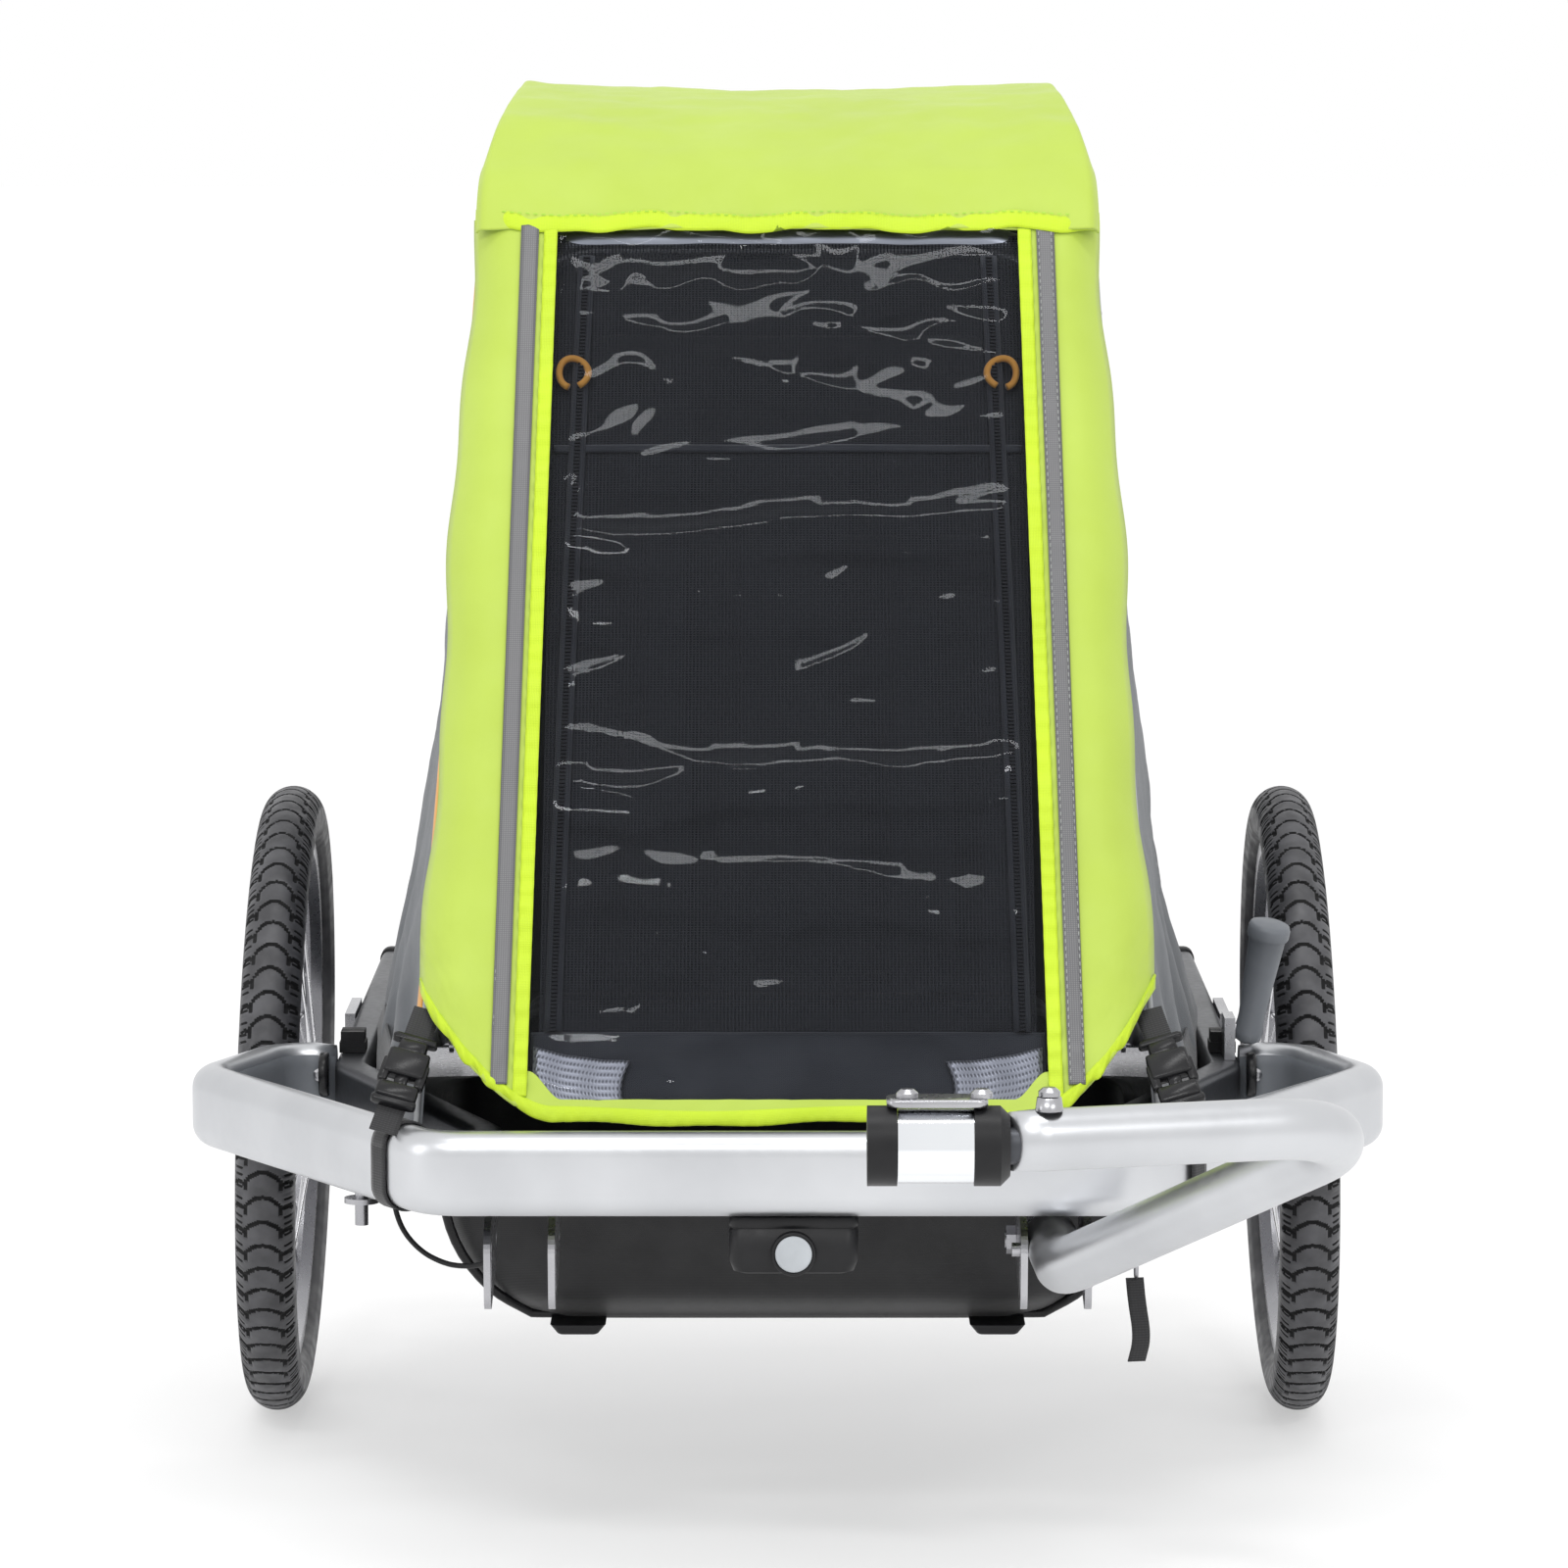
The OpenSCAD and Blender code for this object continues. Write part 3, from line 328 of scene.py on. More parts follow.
def build_looks():
    return {
        "alu": metal("satin_aluminium", (0.63, 0.64, 0.66), (0.56, 0.57, 0.59), 0.34),
        "steel": metal("zinc_steel", (0.5, 0.5, 0.52), (0.36, 0.36, 0.38), 0.28),
        "chrome": metal("chrome", (0.86, 0.88, 0.9), (0.8, 0.82, 0.85), 0.07),
        "dark_steel": metal("dark_steel", (0.10, 0.105, 0.115), (0.07, 0.072, 0.08), 0.4),
        "rim": metal("rim_alloy", (0.4, 0.4, 0.42), (0.3, 0.3, 0.32), 0.28),
        "spoke": metal("spoke_steel", (0.75, 0.75, 0.77), (0.6, 0.6, 0.62), 0.22),
        "black": plastic("black_plastic", (0.007, 0.007, 0.008), 0.42),
        "grey": plastic("grey_plastic", (0.135, 0.145, 0.16), 0.45),
        "button": plastic("button_plastic", (0.36, 0.38, 0.4), 0.4),
        "gloss": plastic("gloss_black_plastic", (0.006, 0.006, 0.007), 0.28),
        "foam": plastic("foam_grip", (0.014, 0.014, 0.015), 0.85, 500, 0.0005),
        "tyre": tyre_look(),
        # painted shade: a near-black copy of the tyre rubber for the floors of the tread grooves
        "groove": plastic("tyre_groove_painted_shade", (0.004, 0.004, 0.0045), 0.8),
        "lime": cloth("lime_cloth", (0.42, 0.555, 0.07), (0.38, 0.50, 0.055), 0.0008, 0.00008,
                      rough=0.62, sheen=0.15, soft=(5, 0.001)),
        "lime_edge": cloth("lime_binding", (0.52, 0.70, 0.010), (0.42, 0.58, 0.006), 0.0012, 0.0002,
                           rough=0.6, sheen=0.15, soft=(26, 0.0012)),
        "grey_cloth": cloth("grey_cloth", (0.072, 0.082, 0.096), (0.052, 0.06, 0.071), 0.0012, 0.0002),
        "black_cloth": cloth("black_cloth", (0.006, 0.006, 0.0075), (0.004, 0.004, 0.005), 0.0016, 0.0002,
                             rough=0.6),
        "dark_cloth": cloth("dark_cloth", (0.035, 0.037, 0.042), (0.02, 0.021, 0.025), 0.0014, 0.0003),
        "orange": cloth("orange_trim", (0.72, 0.34, 0.05), (0.6, 0.27, 0.04), 0.001, 0.0002),
        "piping": cloth("grey_piping", (0.45, 0.46, 0.47), (0.3, 0.31, 0.32), 0.001, 0.0002),
        "web": ribbed("black_webbing", (0.014, 0.014, 0.016), 0.0019, 0.0003),
        "thread": cloth("stitch_thread", (0.30, 0.31, 0.30), (0.22, 0.23, 0.22), 0.0006, 0.0001),
        "lime_thread": cloth("lime_thread", (0.36, 0.66, 0.05), (0.28, 0.52, 0.04), 0.0006, 0.0001),
        "vinyl": vinyl_look(),
        "net": net_look(),
        "stripe": stripe_look(),
        "dots": dots_look(),
    }


# ---------------------------------------------------------------- mesh helpers
def piece(name, verts, faces, look, body, replaces=(), uvs=None, smooth=True):
    mesh = bpy.data.meshes.new(name)
    mesh.from_pydata([tuple(v) for v in verts], [], faces)
    if uvs:
        layer = mesh.uv_layers.new(name="metres")
        for loop in mesh.loops:
            layer.data[loop.index].uv = uvs[loop.vertex_index]
    mesh.polygons.foreach_set("use_smooth", [smooth] * len(mesh.polygons))
    mesh.materials.append(LOOKS[look])
    mesh.update()
    obj = bpy.data.objects.new(name, mesh)
    bpy.context.collection.objects.link(obj)
    if replaces:
        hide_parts(*replaces)
    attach(obj, body)
    return obj


def soft(obj):
    """A sewn piece, with its own copy of the mesh data."""
    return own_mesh(obj)


def grid_faces(n, m, close=False):
    cols = m if close else m - 1
    return [(i * m + j, i * m + (j + 1) % m, (i + 1) * m + (j + 1) % m, (i + 1) * m + j)
            for i in range(n - 1) for j in range(cols)]


def grid_piece(name, rows, look, body, replaces=(), thick=0.0, offset=-1.0):
    """A sheet through rows of points, with its UV map in metres."""
    n, m = len(rows), len(rows[0])
    verts = [p for row in rows for p in row]
    uvs = []
    v_len = 0.0
    for i, row in enumerate(rows):
        if i:
            v_len += (row[m // 2] - rows[i - 1][m // 2]).length
        u_len = 0.0
        for j, p in enumerate(row):
            if j:
                u_len += (p - row[j - 1]).length
            uvs.append((u_len, v_len))
    obj = piece(name, verts, grid_faces(n, m), look, body, replaces, uvs)
    if thick:
        mod = obj.modifiers.new("thickness", "SOLIDIFY")
        mod.thickness = thick
        mod.offset = offset
    return obj


def unit(v):
    return v / v.length


def bend_route(points, radii, step=math.radians(6)):
    """The points of a tube's middle line, with each corner as a round bend, and their directions."""
    route = [(points[0], unit(points[1] - points[0]))]
    for a, b, c, r_mm in zip(points, points[1:], points[2:], radii[1:]):
        r = r_mm / 1000
        u, v = unit(b - a), unit(c - b)
        turn = u.angle(v)
        n = unit(u.cross(v).cross(u))
        middle = b - u * r * math.tan(turn / 2) + n * r
        steps = max(3, math.ceil(turn / step))
        for k in range(steps + 1):
            t = turn * k / steps
            route.append((middle - n * r * math.cos(t) + u * r * math.sin(t),
                          u * math.cos(t) + n * math.sin(t)))
    route.append((points[-1], unit(points[-1] - points[-2])))
    return route


def sweep(route, outline, ref=UP):
    """Rings of an outline along a route, and their faces with both ends closed."""
    verts, m = [], len(outline)
    for p, t in route:
        side = unit(ref.cross(t))
        up = t.cross(side)
        verts += [p + side * a + up * b for a, b in outline]
    n = len(route)
    faces = grid_faces(n, m, close=True)
    faces += [tuple(reversed(range(m))), tuple((n - 1) * m + k for k in range(m))]
    return verts, faces


def circle(r, sides=32):
    return [(r * math.cos(2 * math.pi * k / sides), r * math.sin(2 * math.pi * k / sides))
            for k in range(sides)]


def rounded_box(w, h, r, per=7):
    points = []
    for sx, sy, start in ((1, 1, 0), (-1, 1, 90), (-1, -1, 180), (1, -1, 270)):
        for k in range(per):
            t = math.radians(start + 90 * k / (per - 1))
            points.append((sx * (w / 2 - r) + r * math.cos(t), sy * (h / 2 - r) + r * math.sin(t)))
    return points


def densify(route, gap=0.02):
    """Extra rings on the straight stretches, so that shading and displacement stay even."""
    full = [route[0]]
    for (p, t), (q, s) in zip(route, route[1:]):
        count = max(1, int((q - p).length / gap))
        full += [(p.lerp(q, k / count), unit(t.lerp(s, k / count))) for k in range(1, count + 1)]
    return full


def tube(name, points, radii, outline, look, body, replaces=(), ref=UP, rim=0.0012):
    """A bent tube with its end edges eased."""
    route = densify(bend_route(points, radii))
    verts, faces = sweep(route, outline, ref)
    m = len(outline)
    for ring in (0, len(route) - 1):
        centre = route[ring][0]
        for k in range(m):
            i = ring * m + k
            verts[i] = centre + (verts[i] - centre) * (1 - rim / max(abs(a) for a, _ in outline))
    return piece(name, verts, faces, look, body, replaces)


def rod(name, line, r, sides, look, node, ref=UP):
    """A thin round rod, cord or piping along a line of points."""
    dirs = [unit(b - a) for a, b in zip(line[:1] + line[:-1], line[1:] + line[-1:])]
    verts, faces = sweep(list(zip(line, dirs)), circle(r, sides), ref)
    return piece(name, verts, faces, look, "chassis", (node,))


def lathe(profile, axis_from, axis_to, segments=48):
    """Verts and faces of a profile of (distance along, radius) turned about an axis."""
    line = unit(axis_to - axis_from)
    side = unit(line.orthogonal())
    up = line.cross(side)
    verts = []
    for d, r in profile:
        for k in range(segments):
            t = 2 * math.pi * k / segments
            verts.append(axis_from + line * d + (side * math.cos(t) + up * math.sin(t)) * r)
    return verts, grid_faces(len(profile), segments, close=True)


def join(parts):
    verts, faces = [], []
    for v, f in parts:
        base = len(verts)
        verts += v
        faces += [tuple(base + i for i in face) for face in f]
    return verts, faces


def dashes(path, length=0.0032, gap=0.0022, width=0.0009, lift=0.0004, normal=Vector((0, -0.83, 0.55))):
    """Stitches: short raised bars along a path of points."""
    parts = []
    for p, q in zip(path, path[1:]):
        d = (q - p).length
        line = unit(q - p)
        s = 0
        while s + length < d:
            a, b = p + line * s, p + line * (s + length)
            side = unit(line.cross(normal)) * width / 2
            top = normal * lift
            v = [a - side, a + side, b + side, b - side,
                 a + line * 0.0006 + top, b - line * 0.0006 + top]
            parts.append((v, [(0, 1, 4), (1, 2, 5, 4), (2, 3, 5), (3, 0, 4, 5)]))
            s += length + gap
    return join(parts)


# ---------------------------------------------------------------- cover: shape shared by its parts
COVER_LOW, COVER_HIGH = (-640, 344), (-232, 956)
COVER_LEN = math.hypot(COVER_HIGH[0] - COVER_LOW[0], COVER_HIGH[1] - COVER_LOW[1])
COVER_DIR = Vector((0, (COVER_HIGH[0] - COVER_LOW[0]) / COVER_LEN, (COVER_HIGH[1] - COVER_LOW[1]) / COVER_LEN))
COVER_OUT = Vector((0, -COVER_DIR.z, COVER_DIR.y))


def lerp(a, b, t):
    return a + (b - a) * t


def smooth(t):
    t = max(0.0, min(1.0, t))
    return t * t * (3 - 2 * t)


def cover_half(s):
    """Half width of the cover's front at s mm up its slope."""
    return lerp(266, 237, s / COVER_LEN) + 2.5 * math.sin(s / 61) + 1.5 * math.sin(s / 23 + 1)


def window_half(s):
    return lerp(186, 174.5, s / COVER_LEN)


def hem_s(x):
    """How far up the slope the hem lies; it rises towards the corners."""
    a = abs(x)
    return -13 + 97 * max(0, (a - 168) / 94) ** 1.6 + 2.0 * math.sin(x / 37)


def front_point(x, s, out=0.0):
    """A point of the cover's front, x across and s up the slope, mm; it falls back at its sides."""
    half = cover_half(s)
    side = max(0.0, (abs(x) - half + 34) / 34)
    back = 30 * side ** 2.2
    belly = 3.0 * math.sin(math.pi * min(1, s / COVER_LEN)) * (1 - (x / half) ** 2)
    p = at(x, COVER_LOW[0], COVER_LOW[1]) + COVER_DIR * (s / 1000)
    return p + COVER_OUT * ((out + belly - 1.0) / 1000) + Vector((0, back / 1000, 0))


def ruck(x, s, seed, size):
    """Soft irregular creases, mm."""
    n = noise.noise(Vector((x / size, s / size, seed)))
    m = noise.noise(Vector((x / size * 2.7, s / size * 2.1, seed + 5)))
    return n + 0.45 * m


def lime_lift(x, s):
    """Gathers of the lime cloth: stronger near the corners and along the hem."""
    near_hem = smooth((130 - (s - hem_s(x))) / 130)
    corner = smooth((abs(x) - 150) / 90)
    amount = 0.5 + 2.6 * near_hem * corner + 0.7 * near_hem
    diagonal = ruck(x + s * 0.35 * (1 if x > 0 else -1), s, 2.0, 26)
    return amount * diagonal + 0.5 * ruck(x, s, 9.0, 90)


def strip(name, inner, outer, s_range, look, columns=9, rows=150, out=0.6, lift=lime_lift, thick=0.0012):
    """A sewn band up one side of the cover, between two half widths, mirrored by their sign."""
    rows_of = []
    s_low, s_high = s_range
    for i in range(rows + 1):
        t = i / rows
        row = []
        for j in range(columns + 1):
            u = j / columns
            level = lerp(s_low, s_high, t)  # before the hem's rise is taken off
            s = lerp(max(s_low, hem_s(lerp(inner(level), outer(level), u))), s_high, t)
            x = lerp(inner(s), outer(s), u)
            row.append(front_point(x, s, out + lift(x, s)))
        rows_of.append(row)
    return soft(grid_piece(name, rows_of, look, "chassis", REPLACES_COVER, thick))


REPLACES_COVER = ("rain_cover",)


def gathered(base, period, high):
    """A lift that puckers a narrow band all along its length."""
    return lambda x, s: base + high * math.sin(s * 2 * math.pi / period + 2 * math.sin(s / 29)) \
        + high * 0.8 * ruck(x, s, 4.0, 9)


def build_cover():
    top = COVER_LEN
    for tag, sg in SIDES:
        strip("cover_border_" + tag, lambda s: sg * (window_half(s) + 2), lambda s: sg * cover_half(s),
              (0, top), "lime", columns=14, rows=220)
        strip("cover_edging_" + tag, lambda s: sg * (window_half(s) - 1), lambda s: sg * (window_half(s) + 9),
              (8, top - 6), "lime_edge", columns=5, rows=360, out=1.6, lift=gathered(0.6, 15, 0.75))
        strip("cover_stripe_" + tag, lambda s: sg * lerp(199, 187.5, s / top),
              lambda s: sg * lerp(211, 201, s / top), (17, top - 4), "stripe", columns=4, rows=300, out=2.2,
              lift=lambda x, s: lime_lift(x, s) * 0.8 + 0.5)
        # stitches down both edges of the stripe
        for k, inset in enumerate((1.6, 11.2)):
            path = [front_point(sg * (lerp(199, 187.5, s / top) + inset), s, 3.1 + 0.8 * lime_lift(sg * 200, s))
                    for s in range(20, int(top) - 6, 6)]
            v, f = dashes(path)
            soft(piece(f"stripe_stitches_{tag}_{k}", v, f, "thread", "chassis", REPLACES_COVER))
    # the strip along the bottom, with its folded hem
    rows_of = []
    for i in range(26):
        t = i / 25
        row = []
        for j in range(281):
            x = lerp(-1, 1, j / 280) * cover_half(hem_s(lerp(-262, 262, j / 280)))
            s0 = hem_s(x)
            s1 = s0 + 12
            wavy = 2.6 * smooth((abs(x) - 170) / 50) * math.sin(x / 3.6 + math.sin(x / 9)) + 0.7 * math.sin(x / 12)
            s = lerp(s0 + wavy, s1, t)
            fold = 2.4 * math.sin(math.pi * min(1, t * 1.05)) ** 0.6
            corner = smooth((abs(x) - 120) / 120)
            pucker = (0.35 + 1.1 * corner) * math.sin(x * 2 * math.pi / 11 + 2 * math.sin(x / 19))
            row.append(front_point(x, s, 1.4 + fold + pucker * math.sin(math.pi * min(1, t + 0.15))))
        rows_of.append(row)
    soft(grid_piece("cover_hem", rows_of, "lime_edge", "chassis", REPLACES_COVER, 0.0012))
    # the bottom strip between hem and window
    rows_of = []
    for i in range(20):
        t = i / 19
        row = []
        for j in range(201):
            x = lerp(-190, 190, j / 200)
            s0 = hem_s(x) + 4
            s = lerp(s0, max(s0 + 10, 6 + 22 * smooth((abs(x) - 160) / 24)), t)
            row.append(front_point(x, s, 1.0 + lime_lift(x, s) * 0.6))
        rows_of.append(row)
    soft(grid_piece("cover_bottom_strip", rows_of, "lime", "chassis", REPLACES_COVER, 0.001))
    build_roof()


ROOF_ROUTE = [(-236, 950), (-228, 962), (-214, 979), (-196, 996), (-170, 1014), (-140, 1030), (-100, 1042),
              (-60, 1050), (-10, 1055), (30, 1058), (84, 1056), (104, 1046), (118, 1034), (124, 1012)]


def roof_half(z):
    """Half width of the roof at height z, mm."""
    return 236 - 22 * min(1.02, max(0.0, (z - 956) / 100)) ** 2.6


def build_roof():
    """The roof panel: it sags between its corners and its front edge is folded over the window's top."""
    route = []
    for a, b in zip(ROOF_ROUTE, ROOF_ROUTE[1:]):
        route += [(lerp(a[0], b[0], k / 8), lerp(a[1], b[1], k / 8)) for k in range(8)]
    route.append(ROOF_ROUTE[-1])
    for _ in range(6):
        route = [route[0]] + [tuple((p[k] + 2 * q[k] + r[k]) / 4 for k in (0, 1))
                              for p, q, r in zip(route, route[1:], route[2:])] + [route[-1]]
    rows_of = []
    for i, (y, z) in enumerate(route):
        a = route[max(0, i - 1)]
        b = route[min(len(route) - 1, i + 1)]
        t = unit(Vector((0, b[0] - a[0], b[1] - a[1])))
        out = Vector((0, -t.z, t.y))
        half = roof_half(z)
        row = []
        for j in range(141):
            u = lerp(-1, 1, j / 140)
            arc = math.sin(u * math.pi / 2 * 0.97) / math.sin(math.pi / 2 * 0.97)
            x = half * arc
            turn = smooth((abs(u) - 0.80) / 0.20)
            top_part = smooth((z - 985) / 40)
            sag = 7.0 * (1 - (x / half) ** 2) * top_part
            front = 1 - smooth((z - 956) / 30)
            scallop = 1.6 * math.sin(x / 17) * front + 2.2 * (1 - front) * ruck(x, y * 1.6, 3.0, 60)
            drop = 17 * turn ** 3 * (0.2 + 0.8 * top_part)
            p = at(x, y, z) + out * ((1.4 + scallop * (1 - turn) - sag) / 1000)
            p.z -= drop / 1000
            p.y += 10 * turn ** 2 * (1 - top_part) / 1000
            row.append(p)
        rows_of.append(row)
    soft(grid_piece("cover_roof", rows_of, "lime", "chassis", REPLACES_COVER, 0.0014))
    # folded front edge of the roof panel
    edge = []
    for i in range(7):
        row = []
        for j in range(161):
            u = lerp(-1, 1, j / 160)
            x = 237 * math.sin(u * math.pi / 2 * 0.97) / math.sin(math.pi / 2 * 0.97)
            wave = 1.8 * math.sin(x / 21) + 1.2 * math.sin(x / 9 + 1)
            s = COVER_LEN - 9 + wave + 2.6 * i
            p = front_point(x, s, 3.0 + 1.6 * math.sin(math.pi * i / 6) + 0.5 * math.sin(x / 4.3))
            row.append(p)
        edge.append(row)
    soft(grid_piece("cover_roof_edge", edge, "lime_edge", "chassis", REPLACES_COVER, 0.0012))
    path = [front_point(x, COVER_LEN + 5 + 1.8 * math.sin(x / 21), 5.2) for x in range(-228, 229, 6)]
    v, f = dashes(path, length=0.003, gap=0.002)
    soft(piece("roof_stitches", v, f, "lime_thread", "chassis", REPLACES_COVER))


# ---------------------------------------------------------------- window, net and what is sewn to it
def crease(s, centre, width):
    d = (s - centre) / width
    return math.exp(-d * d)


def fold_line(x, s, wide, high, seed):
    """Sharp ridges along the zero lines of a noise, as in crumpled film."""
    return (1 - min(1, 2.2 * abs(noise.noise(Vector((x / wide, s / high, seed)))))) ** 2


def vinyl_lift(x, s):
    """Horizontal rolls and dents of the clear film, mm."""
    lean = 9 * math.sin(x / 83) + 5 * math.sin(x / 31 + 2)
    lift = 3.4 * crease(s, COVER_LEN * 0.36 + lean, 12) + 3.0 * crease(s, COVER_LEN * 0.64 + lean * 0.8, 10)
    lift += 2.4 * crease(s, COVER_LEN * 0.24 - lean, 15) + 2.0 * crease(s, COVER_LEN * 0.11 + lean, 13)
    top = smooth((s - COVER_LEN * 0.74) / (COVER_LEN * 0.2))
    lift += 2.6 * noise.noise(Vector((x / 120, s / 100, 6.0)))
    lift += 1.9 * fold_line(x + 0.4 * s, s, 150, 58, 8.0) + 1.5 * fold_line(x - 0.8 * s, s, 120, 90, 14.0)
    lift += (0.5 + 1.7 * top) * fold_line(x, s, 52, 40, 1.0)
    edge = smooth((window_half(s) - abs(x)) / 26) * smooth((s + 4) / 24)
    return lift * edge


def build_window():
    rows_of = []
    for i in range(241):
        s = lerp(-6, COVER_LEN - 2, i / 240)
        row = []
        for j in range(141):
            x = lerp(-1, 1, j / 140) * (window_half(s) + 3)
            inner = 16 * smooth((34 - s) / 34) * smooth((abs(x) - 150) / 36)
            row.append(front_point(x, s + inner, -0.4 + vinyl_lift(x, s)))
        rows_of.append(row)
    vinyl = grid_piece("window_film", rows_of, "vinyl", "chassis", ("clear_window",), 0)
    soft(vinyl)

    def net_row(s, half, out):
        return [front_point(lerp(-1, 1, j / 120) * half,
                            s, out + 0.8 * ruck(lerp(-half, half, j / 120), s, 12.0, 70)) for j in range(121)]

    net = grid_piece("net_panel", [net_row(lerp(-2, COVER_LEN - 4, i / 160), window_half(300) - 4, -13)
                                   for i in range(161)], "net", "chassis", ("mesh_screen",))
    soft(net)
    band = [net_row(lerp(0, 64, i / 16), window_half(0) - 3, -11) for i in range(17)]
    soft(grid_piece("net_lower_band", band, "dark_cloth", "chassis", ("mesh_screen",), 0.001))
    seam = [net_row(COVER_LEN * 0.735 + 2.2 * i, window_half(500) - 4, -11.5 + 0.6 * math.sin(math.pi * i / 3))
            for i in range(4)]
    soft(grid_piece("net_cross_seam", seam, "dark_cloth", "chassis", ("mesh_screen",), 0.001))
    for tag, sg in SIDES:
        route = [front_point(sg * lerp(168, 151, (s / COVER_LEN) ** 1.3), s, -10)
                 for s in range(64, int(COVER_LEN) - 20, 12)]
        tape = []
        for p, q in zip(route, route[1:] + [route[-1] + (route[-1] - route[-2])]):
            side, out = Vector((0.0062, 0, 0)), COVER_OUT * 0.0012
            tape.append([p - side, p - side * 0.35 + out, p + side * 0.35 + out, p + side])
        soft(grid_piece("zip_tape_" + tag, tape, "dark_cloth", "chassis", ("mesh_screen",), 0.0008))
        # teeth of the zip, one pair every 3 mm
        parts = []
        for p, q in zip(route, route[1:]):
            n = int((q - p).length / 0.003)
            for k in range(n):
                c = p.lerp(q, k / n) + COVER_OUT * 0.0022
                a, b = Vector((0.0024, 0, 0)), unit(q - p) * 0.0009
                parts.append(([c - a - b, c + a - b, c + a + b, c - a + b,
                               c - a * 0.7 - b * 0.6 + COVER_OUT * 0.001, c + a * 0.7 - b * 0.6 + COVER_OUT * 0.001,
                               c + a * 0.7 + b * 0.6 + COVER_OUT * 0.001, c - a * 0.7 + b * 0.6 + COVER_OUT * 0.001],
                              [(0, 1, 5, 4), (1, 2, 6, 5), (2, 3, 7, 6), (3, 0, 4, 7), (4, 5, 6, 7)]))
        v, f = join(parts)
        soft(piece("zip_teeth_" + tag, v, f, "black", "chassis", ("mesh_screen",), smooth=False))
        # cord loop on the zip pull
        c = front_point(sg * 160, 607, -8)
        loop = []
        for k in range(25):
            t = math.radians(lerp(-70, 250, k / 24))
            p = c + Vector((sg * (0.011 * math.cos(t)), 0, 0)) + COVER_DIR * 0.0125 * math.sin(t)
            loop.append(p + COVER_OUT * (0.0015 * math.sin(2 * t) + 0.001))
        soft(rod("zip_pull_" + tag, loop, 0.0026, 12, "orange", "mesh_screen", COVER_OUT))
        # reflector patch low on the net
        patch = []
        for i in range(19):
            s = lerp(-4, 40, i / 18)
            lean = 6 * math.sin(math.pi * i / 18)
            patch.append([front_point(sg * lerp(112 + lean, 181, j / 16), s + 11 * (j / 16) ** 2,
                                      -8 + 0.5 * math.sin(j))
                          for j in range(17)])
        soft(grid_piece("reflector_patch_" + tag, patch, "dots", "chassis", ("mesh_screen",), 0.0012))


# ---------------------------------------------------------------- grey sides and back
SIDE_LOW_Z, SIDE_HIGH_Z = 318, 956


def side_front(z):
    t = (z - 344) / 612
    return lerp(266, 237, t) - 7, COVER_LOW[0] + (z - 344) * (COVER_HIGH[0] - COVER_LOW[0]) / 612 + 33


def side_place(z, u):
    """A point of the grey side, u = 0 at the cover's edge to 1 at the rear hoop; x is positive."""
    front_x, front_y = side_front(z)
    low = lerp(317, 267, max(0, (z - 330) / 260) ** 0.8) if z < 590 else lerp(267, 230, (z - 590) / 370)
    hoop_y = max(-60 - 0.24 * (z - RAIL_MM), front_y + 14)
    rear_y = 112 - 0.054 * (z - RAIL_MM)
    split = 0.62
    if u < split:
        k = u / split
        x = lerp(front_x, low, math.sin(k * math.pi / 2) ** 0.85)
        y = lerp(front_y, hoop_y, k)
    else:
        k = (u - split) / (1 - split)
        x = lerp(low, low - 8, k * k)
        y = lerp(hoop_y, rear_y, k)
    return x, y


def side_u_at(z, y):
    """The u at which side_place reaches y."""
    low, high = 0.0, 1.0
    for _ in range(18):
        mid = (low + high) / 2
        low, high = (mid, high) if side_place(z, mid)[1] < y else (low, mid)
    return low


def roof_height(y):
    for a, b in zip(ROOF_ROUTE, ROOF_ROUTE[1:]):
        if a[0] <= y <= b[0]:
            return lerp(a[1], b[1], (y - a[0]) / (b[0] - a[0]))
    return ROOF_ROUTE[0][1]


def side_crease(y, z, sg):
    """Folds of the side cloth: drawn from the corners and hung between the hoops."""
    low = smooth((520 - z) / 190)
    folds = 4.6 * low * math.sin((y * 0.055 + z * 0.012) + 2 * noise.noise(Vector((y / 90, z / 90, sg))))
    broad = 5.5 * ruck(y * 0.6, z, 20 + sg, 130)
    return folds + broad + 1.3 * ruck(y, z, 30 + sg, 34)


